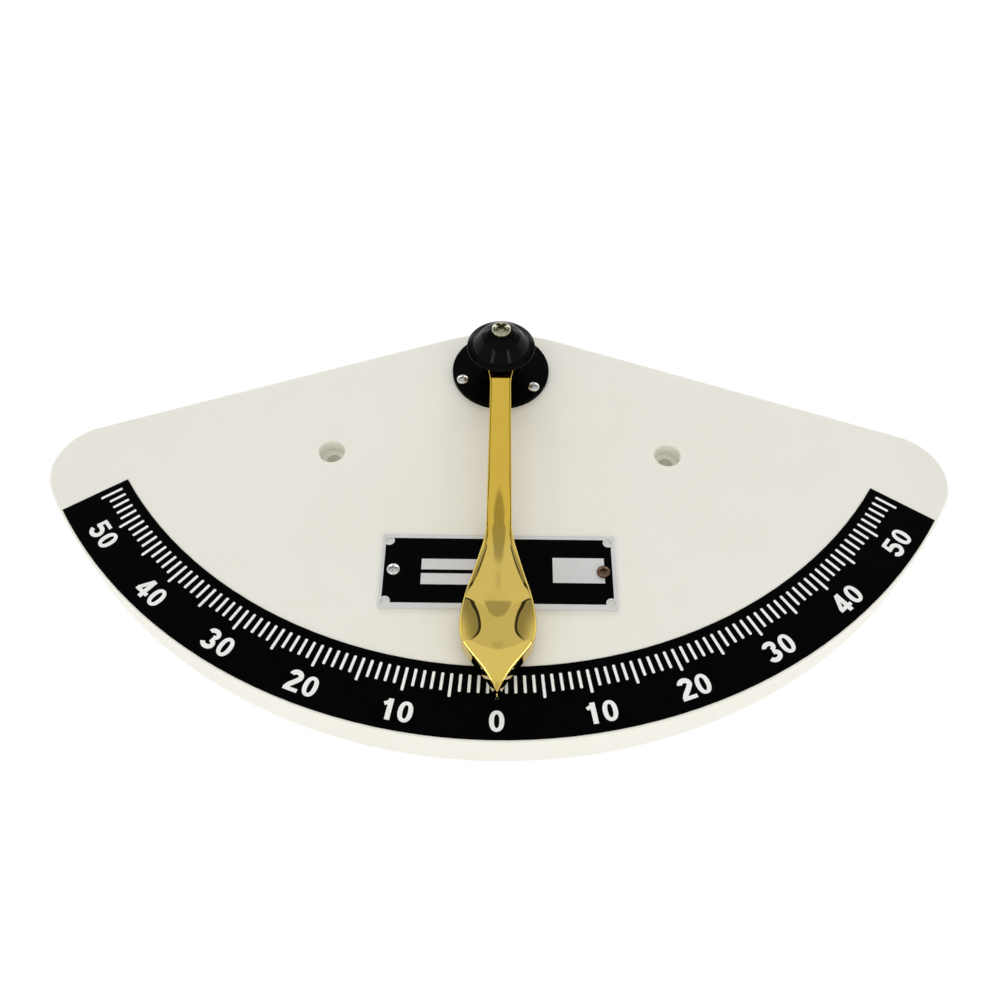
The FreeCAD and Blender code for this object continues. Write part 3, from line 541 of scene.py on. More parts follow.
@dataclass(frozen=True)
class PendulumBrass(Metal):
    """Brass painted paler on the bob than along the arm, a painted reflection on one casting;
    distances run down from the pivot.
    """

    # The bob's paler colour is a painted reflection: it stands in for the whitish sheen on the
    # polished bob.
    bob_colour: Colour = (0.82, 0.61, 0.15)
    pale_from: float = 92.0
    pale_to: float = 112.0

    def _bare(self, graph: Graph) -> Signal:
        """The arm's colour, easing into the bob's paler colour, which is a painted reflection."""
        below = LAYOUT.pivot_up - graph.parts()[2] / MM
        # Further from the pivot the colour blends towards the bob's painted reflection colour.
        return graph.blend(below.ramp(self.pale_from, self.pale_to), self.colour, self.bob_colour)


@dataclass(frozen=True)
class Lacquer(Finish):
    """Black gloss that carries dust and fine rubs."""

    roughness: float
    sheen: float

    def shade(self, graph: Graph) -> None:
        """Dull the gloss here and there and ripple it faintly."""
        dust = graph.noise(0.7).ramp(0.6, 0.78)
        rub = graph.noise(5, 4, up=0.3).ramp(0.45, 0.8)
        graph.finish(
            Base_Color=graph.blend(dust * 0.05, self.colour, grey(0.03)),
            Roughness=self.roughness + rub * 0.08,
            Specular_IOR_Level=self.sheen,
            Normal=graph.bump(graph.noise(4, 2), 0.01, 0.35),
        )


@dataclass(frozen=True)
class Box:
    """An upright rectangle on the name plate, from its middle."""

    left: float
    right: float
    low: float
    high: float


@dataclass(frozen=True)
class PrintedPlate(Finish):
    """Aluminium sheet printed black, with bare boxes and bare discs round its holes."""

    ink: Colour
    black_field: Box
    bare_boxes: tuple[Box, ...]
    disc_across: float
    disc_up: float
    disc_radius: float
    edge: float = 0.06
    face_from: float = 0.85
    face_to: float = 0.95

    def shade(self, graph: Graph) -> None:
        """Print the field where it isn't kept bare."""
        across_m, depth_m, up_m = graph.parts()
        across = across_m / MM
        height = (0.0 - depth_m / MM) - LAYOUT.plate_front
        up = up_m / MM - LAYOUT.label_up
        ink = self._inside(across, up, self.black_field)
        for box in self.bare_boxes:
            ink = ink * (1.0 - self._inside(across, up, box))
        aside, above = abs(across) - self.disc_across, abs(up) - self.disc_up
        reach = (aside * aside + above * above).power(0.5)
        ink = ink * reach.ramp(self.disc_radius - self.edge, self.disc_radius + self.edge)
        ink = ink * height.ramp(self.face_from, self.face_to)
        brushed = graph.noise(0.3, 2, across=0.03)
        cloud = graph.noise(12).ramp(0.4, 0.8)
        dulled = tuple(0.86 * part for part in self.colour)
        metal = graph.blend(cloud * 0.4, self.colour, dulled)
        relief = brushed * (1.0 - ink) * 0.3 + ink
        graph.finish(
            Base_Color=graph.blend(ink, metal, self.ink),
            Metallic=(1.0 - ink) * 0.35,
            Roughness=0.42 + cloud * 0.06 - ink * 0.06,
            Specular_IOR_Level=0.02,
            Normal=graph.bump(relief, 0.01, 0.6),
        )

    def _inside(self, across: Signal, up: Signal, box: Box) -> Signal:
        """One inside a box, zero outside it."""
        sideways = (across - box.left).least(box.right - across)
        upwards = (up - box.low).least(box.high - up)
        return sideways.least(upwards).ramp(-self.edge, self.edge)


WARM_WHITE = Moulding("warm_white_moulding", (0.9, 0.883, 0.8), (0.85, 0.83, 0.74), 0.42)
BLACK_FILM = Print("black_film", (0.0008, 0.0008, 0.0009), (0.002, 0.002, 0.0021), 0.45, 0.015)
WHITE_INK = Print("white_ink", (0.90, 0.90, 0.88), (0.84, 0.84, 0.81), 0.55)
FLOOR_PAPER = Print("floor_paper", (0.76, 0.76, 0.75), (0.74, 0.74, 0.73), 0.9)
# Pendulum brass; its bob is painted paler, which is a painted reflection and not a different
# metal.
BRASS = PendulumBrass("polished_brass", (0.80, 0.55, 0.08), (0.74, 0.51, 0.08), 0.02, Lay.CAST,
                     0.003, 0.3)
SCREW_BRASS = Metal("yellow_zinc", (0.42, 0.405, 0.31), (0.24, 0.25, 0.08), 0.12, Lay.PLAIN,
                    tarnish_amount=0.6)
CAGE_BRASS = Metal("cage_brass", (0.72, 0.55, 0.25), (0.55, 0.40, 0.18), 0.3, Lay.TURNED)
BRIGHT_STEEL = Metal("bright_steel", (0.66, 0.66, 0.65), (0.50, 0.49, 0.47), 0.25, Lay.PLAIN)
BROWN_STEEL = Metal("browned_steel", (0.15, 0.095, 0.065), (0.07, 0.045, 0.03), 0.38, Lay.PLAIN)
TURNED_STEEL = Metal("turned_steel", (0.60, 0.60, 0.60), (0.45, 0.44, 0.42), 0.28, Lay.TURNED)
BEARING_STEEL = Metal("bearing_steel", (0.72, 0.72, 0.73), (0.6, 0.6, 0.6), 0.12, Lay.TURNED)
HUB_BLACK = Lacquer("hub_black", grey(0.0008), 0.3, 0.02)
CAP_BLACK = Lacquer("cap_black", grey(0.0005), 0.12, 0.07)
LABEL = PrintedPlate(
    "printed_aluminium", (0.70, 0.705, 0.70), (0.0008, 0.0008, 0.001),
    Box(-47.7, 47.4, -15.1, 15.7),
    (Box(-32.1, 3.0, 0.5, 5.6), Box(-32.1, 3.0, -6.5, -1.3), Box(22.6, 44.1, -5.2, 6.7)),
    46.3, 14.35, 2.2,
)

CARRIED_OVER: dict[Finish, tuple[str, ...]] = {
    WARM_WHITE: ("backplate",),
    BLACK_FILM: ("scale_band",),
    LABEL: ("name_plate",),
    TURNED_STEEL: ("spindle", "spindle_washer", "spindle_nut", "bearing_shields"),
    BEARING_STEEL: ("bearing_inner_ring", "bearing_balls", "bearing_outer_ring"),
    CAGE_BRASS: ("bearing_cage",),
}


def dress_carried_over() -> None:
    """Give every CAD node that stays visible its finish."""
    for finish, nodes in CARRIED_OVER.items():
        for node in nodes:
            materials = frame["nodes"][node].data.materials
            materials.clear()
            materials.append(finish.material())
            LOG.info("%s: %s", node, finish.name)


# ---- the printed scale ----

DIGIT_HIGH = 8.7
DIGIT_WIDE = 6.1
PEN = 0.165
THIN_PEN = 0.125


@dataclass(frozen=True)
class Numeral:
    """One number on the scale: its angle, its shift aside and its middle's radius."""

    degrees: int
    aside: float
    radius: float


@dataclass(frozen=True)
class PrintedScale:
    """Graduations and numerals, printed in white on the black band."""

    limit: int = 55
    inner: float = 202.0
    outer: float = 209.3
    outer_long: float = 211.7
    half_width: float = 0.58
    rounding: float = 0.42
    ink: float = 0.1
    layer: float = 0.004
    advance: float = 7.1
    numerals: tuple[Numeral, ...] = (
        Numeral(-50, -0.8, 218.4), Numeral(-40, -1.2, 219.3), Numeral(-30, -1.1, 219.3),
        Numeral(-20, -0.3, 219.5), Numeral(-10, -0.1, 219.9), Numeral(0, 0.0, 220.4),
        Numeral(10, 1.6, 219.9), Numeral(20, 1.6, 219.3), Numeral(30, 2.7, 219.3),
        Numeral(40, 2.9, 219.6), Numeral(50, 2.9, 219.5),
    )

    def build(self) -> None:
        """Make the graduations and the numerals."""
        marks = Piece("scale_marks", "white_print", WHITE_INK, ("scale_graduations",))
        for degree in range(-self.limit, self.limit + 1):
            marks.add(self._mark(degree))
        marks.build()
        digits = Piece("scale_numerals", "white_print", WHITE_INK)
        for numeral in self.numerals:
            digits.add(*self._number(numeral))
        digits.build()

    def _dial(self, points: Array, degrees: float, radius: float) -> Array:
        """Move upright plane points to an angle and radius on the scale.

        Args:
            points: (across, up) from the numeral's or mark's own middle.
            degrees: Angle from straight down, positive to the reader's right.
            radius: Radius of that middle, from the scale's centre.

        Returns:
            The moved points.
        """
        turn = np.radians(degrees)
        out = np.array([np.sin(turn), -np.cos(turn)])
        side = np.array([np.cos(turn), np.sin(turn)])
        centre = out * radius + (0.0, LAYOUT.scale_up)
        return centre + points[:, :1] * side - points[:, 1:] * out

    def _mark(self, degree: int) -> Surface:
        """One graduation, a bar with rounded corners; every fifth is longer."""
        core_share = 0.02
        outer = self.outer if degree % 5 else self.outer_long
        half, middle = (outer - self.inner) / 2, (outer + self.inner) / 2
        wide = self.half_width
        corners = [(wide, half), (wide, -half), (-wide, -half), (-wide, half)]
        loop = fillet(corners, [self.rounding] * 4, 3, closed=True)
        edge = self._dial(loop, degree, middle)
        core = self._dial(loop * core_share, degree, middle)
        return slab(core, edge, LAYOUT.band_front, LAYOUT.band_front + self.ink)

    def _number(self, numeral: Numeral) -> Iterable[Surface]:
        """The strokes of a number, each a hair lower than the last where they cross."""
        text = str(abs(numeral.degrees))
        for place, letter in enumerate(text):
            shift = (place - (len(text) - 1) / 2) * self.advance + numeral.aside
            for order, (inner, outer, closed) in enumerate(DIGITS[letter]):
                paths = [self._dial(path * (DIGIT_WIDE, DIGIT_HIGH) + (shift, 0),
                                    numeral.degrees, numeral.radius) for path in (inner, outer)]
                top = LAYOUT.band_front + self.ink - self.layer * order
                yield slab(*paths, LAYOUT.band_front, top, closed)


def ribbon(path: "Array | Sequence[tuple]", half_width: float) -> Stroke:
    """Both sides of a pen stroke that follows a path.

    Args:
        path: Points of its middle line, in shares of a digit's width and height.
        half_width: Half the pen's width, in shares of the digit's width.

    Returns:
        The stroke: its two sides, and False because they aren't loops.
    """
    aspect = np.array([1.0, DIGIT_HIGH / DIGIT_WIDE])
    real = path * aspect
    along = np.gradient(real, axis=0)
    along /= np.linalg.norm(along, axis=1, keepdims=True)
    normal = np.stack([-along[:, 1], along[:, 0]], axis=1)
    reach = normal * half_width
    return (real - reach) / aspect, (real + reach) / aspect, False


def oval(across: float, up: float, wide: float, high: float, start: float, end: float,
         steps: int = 28, squareness: float = 2.0) -> Array:
    """Part of an oval; squareness above two flattens its sides."""
    turn = np.radians(np.linspace(start, end, steps + 1))
    cosine, sine = np.cos(turn), np.sin(turn)
    power = 2.0 / squareness
    return np.stack([across + wide * np.sign(cosine) * np.abs(cosine) ** power,
                     up + high * np.sign(sine) * np.abs(sine) ** power], axis=1)


# The strokes of bold sans-serif digits, in a box one wide and one high.
DIGITS: dict[str, tuple[Stroke, ...]] = {
    "0": ((oval(0, 0, 0.165, 0.315, 0, 360, 72, 2.3)[:-1],
           oval(0, 0, 0.475, 0.48, 0, 360, 72, 2.2)[:-1], True),),
    "1": (ribbon([(0.13, 0.49), (0.13, -0.49)], PEN),
          ribbon([(0.13, 0.40), (-0.04, 0.30), (-0.26, 0.22)], 0.12)),
    "2": (ribbon(np.concatenate([oval(0.02, 0.235, 0.325, 0.185, 172, -28, 30),
                                 [(0.16, 0.02), (-0.18, -0.22), (-0.34, -0.40)]]), PEN),
          ribbon([(-0.48, -0.41), (0.5, -0.41)], THIN_PEN)),
    "3": (ribbon(oval(-0.03, 0.245, 0.325, 0.165, 170, -80, 30), THIN_PEN * 1.2),
          ribbon(oval(-0.04, -0.225, 0.36, 0.19, 85, -168, 32), THIN_PEN * 1.25)),
    "4": (ribbon([(0.17, 0.5), (0.17, -0.5)], PEN),
          ribbon([(-0.52, -0.235), (0.53, -0.235)], 0.13),
          ribbon([(0.12, 0.44), (-0.42, -0.22)], 0.135)),
    "5": (ribbon([(-0.36, 0.415), (0.43, 0.415)], THIN_PEN),
          ribbon([(-0.30, 0.49), (-0.375, -0.02)], THIN_PEN),
          ribbon(np.concatenate([[(-0.40, 0.03), (-0.25, 0.11)],
                                 oval(-0.03, -0.165, 0.37, 0.25, 105, -165, 36)]),
                 THIN_PEN * 1.25)),
}


# ---- fasteners ----

@dataclass(frozen=True)
class CrossHead:
    """A cross-recess screw with a crowned head.

    The head and the shank are radii, the side and the top of the head and the
    shank's length are measured from the seat, and the arms of the cross have a
    half width, a reach from the axis and a depth.
    """

    HEAD_EDGE = 0.3
    CROWN_POWER = 0.7
    WALL = 0.14
    END_SLOPE = 2.5

    head: float
    side: float
    high: float
    shank: float
    long: float
    arm_half: float
    arm_reach: float
    deep: float
    turn_degrees: float = 0.0

    def surface(self, across: float, up: float, seat: float) -> Surface:
        """The screw's whole surface.

        Args:
            across: Where its axis is, sideways.
            up: Where its axis is, up.
            seat: Height of the face that it clamps.

        Returns:
            One surface from the middle of the head to the middle of the shank's end.
        """
        edge = self.head - self.HEAD_EDGE
        inside = np.linspace(0, edge, 34)
        crown = np.stack([inside, self._crown(inside)], axis=1)
        rest = fillet([(edge, self._crown(edge)), (self.head, self.side), (self.head, 0),
                       (self.shank, 0), (self.shank, -self.long), (0, -self.long)],
                      [0, 0.25, 0.05, 0, 0.2, 0], 3)
        profile = np.concatenate([crown, rest[1:]]) + (0, seat)
        solid = turned(profile, across, up, steps=128)
        self._sink(solid.points[:len(crown)], across, up)
        return solid

    def _crown(self, radius: "Array | float") -> "Array | float":
        """Height of the crown at a radius."""
        share = (1 - (radius / self.head) ** 2) ** self.CROWN_POWER
        return self.side + (self.high - self.side) * share

    def _sink(self, points: Array, across: float, up: float) -> None:
        """Press the cross into the crown, in place."""
        turn = np.radians(self.turn_degrees)
        x, z = points[..., 0] / MM - across, points[..., 2] / MM - up
        along = x * np.cos(turn) + z * np.sin(turn)
        beside = z * np.cos(turn) - x * np.sin(turn)
        depth = np.maximum(self._arm(along, beside), self._arm(beside, along))
        points[..., 1] += depth * self.deep * MM

    def _arm(self, along: Array, beside: Array) -> Array:
        """One arm of the cross: one inside it and zero outside, with a steep wall."""
        ends = np.clip((self.arm_reach - np.abs(along)) / (self.WALL * self.END_SLOPE), 0, 1)
        sides = np.clip((self.arm_half - np.abs(beside)) / self.WALL + 0.5, 0, 1)
        return ends * sides


M3_PAN = CrossHead(2.75, 0.9, 2.0, 1.5, 8.0, 0.36, 1.45, 1.1)
CAP_TRUSS = CrossHead(4.4, 1.8, 3.3, 2.0, 20.0, 0.85, 3.0, 2.4, 45.0)


# ---- hub ----

@dataclass(frozen=True)
class Hub:
    """The black flange, its screws, the black cap and the cap's screw."""

    flange_radius: float = 23.0
    flange_top: float = 22.5
    boss: float = 9.0
    boss_top: float = 27.0
    bore: float = 4.0
    screw_circle: float = 19.5
    screw_angles: tuple[float, ...] = (83.0, 203.0, 323.0)
    cap_top: float = 47.7
    cap_profile: tuple[tuple[float, float], ...] = (
        (2.2, 35.5), (4, 35.5), (4, 37), (15, 37), (15.8, 37.8), (15.8, 38.4),
        (14.3, 39.1), (13, 39.4), (9, 45.1), (6.2, 47.2), (5.2, 47.7), (2.2, 47.7))
    cap_setbacks: tuple[float, ...] = (
        0, 0.2, 0.3, 0.4, 0.25, 0.3, 0.5, 0.5, 0.7, 0.6, 0.4, 0)

    def build(self) -> None:
        """Make the four pieces."""
        self._flange()
        self._screws()
        self._cap()
        screw = Piece("cap_truss_screw", "yellow_screw", SCREW_BRASS, ("cap_screw",))
        screw.add(CAP_TRUSS.surface(0, LAYOUT.pivot_up, self.cap_top)).build()

    def _flange(self) -> None:
        """The turned flange with a filleted boss."""
        low = LAYOUT.plate_front
        rim, top = self.flange_radius, self.flange_top
        profile = fillet([(self.bore, low), (rim, low), (rim, top), (self.boss, top),
                          (self.boss, self.boss_top), (self.bore, self.boss_top)],
                         [0, 0.15, 0.7, 1.6, 0.6, 0], 5)
        flange = Piece("turned_flange", "black_hub", HUB_BLACK, ("hub_flange",))
        flange.add(turned(profile, 0, LAYOUT.pivot_up, closed=True)).build()

    def _screws(self) -> None:
        """Three screws round the flange."""
        screws = Piece("flange_pan_screws", "bright_steel", BRIGHT_STEEL, ("hub_flange_screws",))
        for angle in np.radians(self.screw_angles):
            across, up = self.screw_circle * np.cos(angle), self.screw_circle * np.sin(angle)
            screws.add(M3_PAN.surface(across, LAYOUT.pivot_up + up, self.flange_top))
        screws.build()

    def _cap(self) -> None:
        """The cap: a flat underside round a bore, a bevelled brim and a cone in two steps."""
        profile = fillet(self.cap_profile, self.cap_setbacks, 5)
        cap = Piece("conical_cap", "black_cap", CAP_BLACK, ("hub_cap",))
        cap.add(turned(profile, 0, LAYOUT.pivot_up, closed=True, steps=192)).build()


@dataclass(frozen=True)
class LabelScrews:
    """The two screws of the name plate."""

    across: float = 43.6
    seat: float = 21.0

    def build(self) -> None:
        """Make the bright left screw and the browned right one."""
        for side, name, slot, finish in (
                (-1, "name_plate_screw_left", "bright_steel", BRIGHT_STEEL),
                (1, "name_plate_screw_right", "browned_steel", BROWN_STEEL)):
            screw = Piece(name + "_head", slot, finish, (name,))
            screw.add(M3_PAN.surface(side * self.across, LAYOUT.label_up, self.seat)).build()


# ---- pendulum ----

@dataclass(frozen=True)
class Pendulum:
    """The brass casting: eye, bevelled arm and crowned bob.

    Distances run down from the pivot axis. The bob's plan gives half its width
    at each distance, and its front gives the height on the middle line, the
    height at the edge and the power of the crown between them. Every section is
    a closed ring across the casting.
    """

    eye: float = 9.6
    eye_front: float = 36.0
    eye_back: float = 29.5
    root_round: float = 38.0
    arm_top: float = 4.75
    arm_half: float = 5.25
    arm_end: float = 94.0
    arm_rounding: float = 0.35
    bob_rounding: float = 0.9
    arm_dome: float = 0.75
    arm_power: float = 9.0
    arm_fall: float = 0.95
    rounding_limit: float = 6.0
    corner_setback: float = 0.25
    brow_inset: float = 2.4
    brow_points: int = 41
    back_blend: float = 26.0
    front_blend: float = 12.0
    bob_back: float = 24.0
    tip: float = 168.3
    tip_length: float = 4.0
    sections: tuple[int, ...] = (20, 26, 90, 10)
    bore: float = 7.5
    bore_back: float = 30.5
    lip: float = 6.6
    cutter_excess: float = 2.0
    sharp_degrees: float = 35.0
    bob_plan: tuple[tuple[float, ...], ...] = (
        (94, 5.25), (102, 5.96), (110, 8.1), (120, 10.9), (129.5, 13.5), (136, 14.75),
        (141.5, 15.1), (147, 14.06), (151.5, 11.3), (156, 7.7), (162, 3.4), (168.3, 0.2),
    )
    bob_front: tuple[tuple[float, ...], ...] = (
        (94, 36, 35.1, 5), (100, 36.01, 34.6, 3.2), (106, 36.07, 34.2, 2.6),
        (112, 36.22, 34.1, 2.3), (120, 36.54, 34.3, 2.1), (127, 36.88, 34.75, 2.1),
        (131, 37.11, 34.7, 2.1), (134, 37.29, 34.3, 2.1), (137, 37.42, 33.6, 2.1),
        (140, 37.49, 33, 2.1), (143, 37.49, 32.6, 2.1), (148, 37.27, 32.4, 2),
        (152, 36.8, 32.3, 2), (156, 35.8, 32.2, 2), (160, 34.4, 32.2, 2),
        (164, 33.2, 32.2, 2), (168.3, 32.4, 32.2, 2),
    )

    def build(self) -> None:
        """Make the casting."""
        casting = Piece("brass_pendulum", "polished_brass", BRASS, ("pendulum",), Body.PENDULUM)
        casting.add(self._casting())
        self._bore_out(casting.build())

    def _root(self) -> tuple[float, float]:
        """Distances at which the concave root leaves the eye's circle and meets the arm."""
        reach, aside = self.eye + self.root_round, self.arm_top + self.root_round
        meet = (reach ** 2 - aside ** 2) ** 0.5
        return meet * self.eye / reach, meet

    def _distances(self) -> Array:
        """Where the sections are: close together where the outline turns."""
        top = -self.eye * np.cos(np.linspace(0, np.pi / 2, self.sections[0]))
        stops = (0, self._root()[1], self.arm_end, self.tip - self.tip_length, self.tip)
        spans = [np.linspace(low, high, count)[1:]
                 for low, high, count in zip(stops, stops[1:], self.sections)]
        return np.concatenate([top, *spans])

    def _half_width(self, distance: Array) -> Array:
        """Half the plan width at each distance."""
        touch, meet = self._root()
        circle = np.sqrt(np.clip(self.eye ** 2 - distance ** 2, 0, None))
        fall = np.clip(meet - distance, 0, meet - touch)
        root = self.arm_top + self.root_round - np.sqrt(self.root_round ** 2 - fall ** 2)
        along = np.clip((distance - meet) / (self.arm_end - meet), 0, 1)
        root = root + (self.arm_half - self.arm_top) * along
        where, half = np.array(self.bob_plan).T
        bob = smooth_through(where, half, distance)
        shape = np.where(distance < touch, circle, root)
        return np.where(distance > self.arm_end, bob, shape)

    def _casting(self) -> Surface:
        """Closed sections from the top of the eye to the tip."""
        distance = self._distances()
        half = self._half_width(distance)
        share = np.clip((distance - self.arm_end) / self.back_blend, 0, 1)
        ease = share * share * (3 - 2 * share)
        back = self.eye_back + (self.bob_back - self.eye_back) * ease
        rounding = self.arm_rounding + (self.bob_rounding - self.arm_rounding) * ease
        rounding = np.minimum(rounding, half / self.rounding_limit)
        reach = half - self.brow_inset * rounding
        across = reach[:, None] * np.sin(np.radians(np.linspace(90, -90, self.brow_points)))
        front = self._height(distance[:, None], half[:, None], across)
        brow = np.stack([across, np.broadcast_to(distance[:, None], across.shape), front], -1)
        ridge = self._height(distance, half, half)
        right = np.stack([np.stack([half, distance, high], -1) for high in (back, ridge)], 1)
        left = right[:, ::-1] * (-1, 1, 1)
        ring = np.concatenate([right, brow, left], axis=1)
        soft = rounding[:, None]
        corner = self.corner_setback
        setbacks = [corner, soft] + [0] * self.brow_points + [soft, corner]
        ring = fillet(ring, setbacks, 4, closed=True)
        return Surface(stand(ring[..., 0], LAYOUT.pivot_up - ring[..., 1], ring[..., 2]))

    def _height(self, distance: Array, half: Array, across: Array) -> Array:
        """Height of the front: nearly flat on the eye and the arm, crowned on the bob.

        Args:
            distance: Distance from the pivot.
            half: Half the width there.
            across: Position across the section.

        Returns:
            The height above the back plane, without the rounding of the edge.
        """
        from_edge = np.where(distance < self._root()[0], self.eye - np.hypot(across, distance),
                             half - np.abs(across))
        near_edge = np.clip(1 - from_edge / self.arm_half, 0, 1)
        fall = self.arm_dome * near_edge ** 2 + (1 - self.arm_dome) * near_edge ** self.arm_power
        arm = self.eye_front - self.arm_fall * fall
        where, *columns = np.array(self.bob_front).T
        crown, ridge, power = (smooth_through(where, column, distance) for column in columns)
        share = np.abs(across) / np.maximum(half, TINY)
        bob = crown - (crown - ridge) * share ** power
        blend = np.clip((distance - self.arm_end) / self.front_blend, 0, 1)
        return arm * (1 - blend) + bob * blend

    def _bore_out(self, casting: bpy.types.Object) -> None:
        """Cut the stepped seat of the bearing through the eye."""
        back, front = self.eye_back - self.cutter_excess, self.eye_front + self.cutter_excess
        profile = np.array([[0, back], [self.lip, back], [self.lip, self.bore_back],
                            [self.bore, self.bore_back], [self.bore, front], [0, front]])
        cutter = Piece("bearing_seat_cutter", "polished_brass", BRASS, body=Body.PENDULUM)
        tool = cutter.add(turned(profile, 0, LAYOUT.pivot_up, steps=128)).build()
        cut = casting.modifiers.new("bearing_seat", "BOOLEAN")
        cut.object = tool
        cut.operation = "DIFFERENCE"
        cut.solver = "EXACT"
        graph = bpy.context.evaluated_depsgraph_get()
        result = bpy.data.meshes.new_from_object(casting.evaluated_get(graph))
        casting.modifiers.clear()
        casting.data = result
        result.shade_smooth()
        result.set_sharp_from_angle(angle=np.radians(self.sharp_degrees))
        bpy.data.objects.remove(tool)


def smooth_through(where: Array, values: Array, at: Array) -> Array:
    """A smooth curve through given values, with averaged slopes at each.

    Args:
        where: Rising positions of the values.
        values: The values.
        at: Positions to read the curve at; outside the range it stays at the ends.

    Returns:
        The curve's values.
    """
    slope = np.gradient(values, where)
    slope[0] = 0.0
    at = np.clip(at, where[0], where[-1])
    index = np.clip(np.searchsorted(where, at) - 1, 0, len(where) - 2)
    span = where[index + 1] - where[index]
    part = (at - where[index]) / span
    first = (1 + 2 * part) * (1 - part) ** 2 * values[index]
    last = part ** 2 * (3 - 2 * part) * values[index + 1]
    start = part * (1 - part) ** 2 * span * slope[index]
    end = part ** 2 * (part - 1) * span * slope[index + 1]
    return first + last + start + end


# ---- studio ----

class Panel(Enum):
    """The panels of the surroundings, each over the ones before it.

    A value is the panel's tone and then its soft edges. An edge names a measure,
    where on it the panel begins to show and where it is full.
    """

    WALL = 0.74, ("side", 0.8, 2.2)
    FAR_WALL = 1.2, ("side", 2.5, 5.0)
    WINDOW_POST = 0.04, ("over_sill", -0.03, -0.02), ("outside", 0.18, 0.14)
    DOOR_POST = 0.04, ("door_side", 0.71, 0.68), ("up", 0.505, 0.49), ("up", -0.02, 0.15)
    WINDOW = 0.75, ("over_sill", 0.0, 0.012), ("outside", 0.05, 0.0)
    DOORWAY = 0.66, ("door_side", 0.59, 0.56), ("up", 0.505, 0.49)
    VISITOR = 0.56, ("up", 0.0, 0.05), ("up", 0.23, 0.17), ("side", 0.32, 0.2)
    FIGURE = 0.42, ("from_figure", 1.15, 0.6)
    CEILING = 0.9, ("up", 0.72, 0.8)
    SKYLIGHT = 2.85, ("up", 0.72, 0.8), ("up", 0.92, 0.86)
    BEHIND = 0.9, ("ahead", -0.1, 0.3)


@dataclass(frozen=True)
class Surroundings:
    """What the polished brass mirrors: panels of light and dark, laid out by direction.

    A half width is the sideways part of a direction over its part towards the
    reader, and a level is its upward part. A window stands over a doorway, both
    between dark posts, with a dim figure across their join and a visitor below.
    """

    shade: float = 0.3
    least_reach: float = 0.02
    sill: float = 0.48
    sill_flat: float = 0.57
    sill_rise: float = 0.12
    window_half: float = 0.8
    shoulder_half: float = 1.1
    shoulder: float = 0.56
    shoulder_fall: float = 8.0
    door_foot: float = 0.42
    door_flare: float = 5.0
    figure_level: float = 0.521
    figure_high: float = 0.05
    figure_half: float = 0.33

    def tone(self, graph: Graph) -> Signal:
        """The colour of the surroundings in every direction."""
        across, ahead, up = graph.parts("Generated")
        side = abs(across) / (0.0 - ahead).most(self.least_reach)
        shoulder = self.shoulder_half - (up - self.shoulder) * self.shoulder_fall
        foot = (self.door_foot - up).most(0.0)
        above, beside = (up - self.figure_level) / self.figure_high, side / self.figure_half
        measures = {
            "ahead": ahead, "up": up, "side": side,
            "over_sill": up - (side - self.sill_flat).most(0.0) * self.sill_rise - self.sill,
            "outside": side - shoulder.most(self.window_half),
            "door_side": side - foot * foot * self.door_flare,
            "from_figure": above * above + beside * beside,
        }
        colour = grey(self.shade)
        for panel in Panel:
            tone, *edges = panel.value
            factor = 1.0
            for measure, start, full in edges:
                factor = measures[measure].ramp(start, full) * factor
            colour = graph.blend(factor, colour, grey(tone))
        return colour


@dataclass(frozen=True)
class Lamp:
    """A rectangular softbox."""

    name: str
    place: Triple
    aim: Triple
    wide: float
    high: float
    watts: float

    def build(self) -> None:
        """Put the lamp in the scene."""
        light = bpy.data.lights.new(self.name, "AREA")
        light.shape = "RECTANGLE"
        light.size = self.wide
        light.size_y = self.high
        light.energy = self.watts
        lamp = put(self.name, light)
        lamp.location = self.place
        towards = Vector(self.aim) - Vector(self.place)
        lamp.rotation_euler = towards.to_track_quat("-Z", "Y").to_euler()


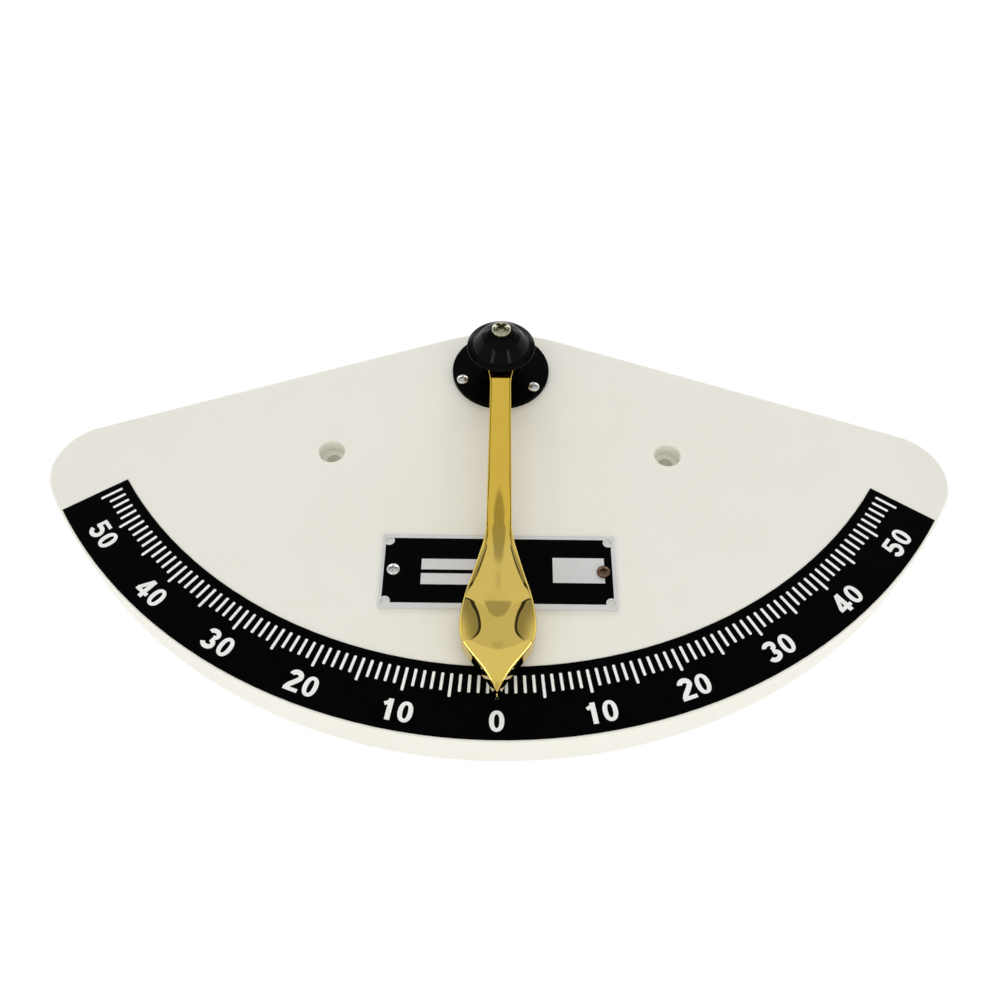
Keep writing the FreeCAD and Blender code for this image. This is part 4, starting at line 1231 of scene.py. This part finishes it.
@dataclass(frozen=True)
class Studio:
    """A pale floor, soft light and the camera, which looks up at the instrument."""

    camera_place: Triple = (-0.0003, -0.3654, -0.2578)
    camera_aim: Triple = (0.00073, 0.04967, 0.02097)
    camera_roll_degrees: float = 0.61
    lens: float = 34.19
    near_clip: float = 0.01
    floor_up: float = -1.0
    floor_radius: float = 60.0
    lamps: tuple[Lamp, ...] = (
        Lamp("left_low_box", (-0.5, -0.38, -0.74), (0, -0.02, 0), 0.07, 0.42, 0.65),
        Lamp("right_low_box", (0.5, -0.38, -0.74), (0, -0.02, 0), 0.07, 0.42, 0.65),
        Lamp("left_side_box", (-1.16, 0.06, -0.38), (0, -0.02, -0.1), 0.4, 0.3, 1.5),
        Lamp("right_side_box", (1.16, 0.06, -0.38), (0, -0.02, -0.1), 0.4, 0.3, 1.5),
    )

    def build(self) -> None:
        """Make floor, world, lamps and camera."""
        self._floor()
        self._world()
        for lamp in self.lamps:
            lamp.build()
        self._camera()

    def _floor(self) -> None:
        """A plain pale floor, well below the instrument."""
        turn = np.radians(np.arange(0, 360, 5))
        rim = np.stack([self.floor_radius * np.cos(turn), self.floor_radius * np.sin(turn),
                        np.full(len(turn), self.floor_up)], -1)
        mesh = bpy.data.meshes.new("studio_floor")
        mesh.from_pydata(rim.tolist(), [], [list(range(len(turn)))])
        floor = put("studio_floor", mesh)
        mesh.materials.append(FLOOR_PAPER.material())

    def _world(self) -> None:
        """White to the camera; the surroundings for light and reflections."""
        world = bpy.data.worlds.new("studio")
        bpy.context.scene.world = world
        world.use_nodes = True
        graph = Graph(world.node_tree)
        soft = graph.node("ShaderNodeBackground", inputs={"Color": Surroundings().tone(graph)})
        white = graph.node("ShaderNodeBackground", inputs={"Color": grey(1.0)})
        path = graph.node("ShaderNodeLightPath")
        switch = graph.node("ShaderNodeMixShader")
        for slot, source in enumerate((path.outputs["Is Camera Ray"], soft.outputs[0],
                                       white.outputs[0])):
            graph.tree.links.new(source, switch.inputs[slot])
        output = graph.node("ShaderNodeOutputWorld")
        graph.tree.links.new(switch.outputs[0], output.inputs[0])

    def _camera(self) -> None:
        """The camera, below the instrument and looking up at it."""
        data = bpy.data.cameras.new("camera")
        data.lens = self.lens
        data.clip_start = self.near_clip
        camera = put("camera", data)
        forward = Vector(self.camera_aim) - Vector(self.camera_place)
        turn = forward.to_track_quat("-Z", "Y").to_matrix().to_4x4()
        roll = Matrix.Rotation(np.radians(self.camera_roll_degrees), 4, "Z")
        camera.matrix_world = Matrix.Translation(self.camera_place) @ turn @ roll
        bpy.context.scene.camera = camera
        bpy.context.scene.view_settings.view_transform = "Standard"


# ---- everything ----


def main() -> None:
    """Dress the carried-over nodes, then build every new piece and the studio."""
    logging.basicConfig(level=logging.INFO)
    dress_carried_over()
    for assembly in (PrintedScale(), LabelScrews(), Hub(), Pendulum(), Studio()):
        assembly.build()
        LOG.info("%s: done", type(assembly).__name__)


if __name__ == "__main__":
    main()
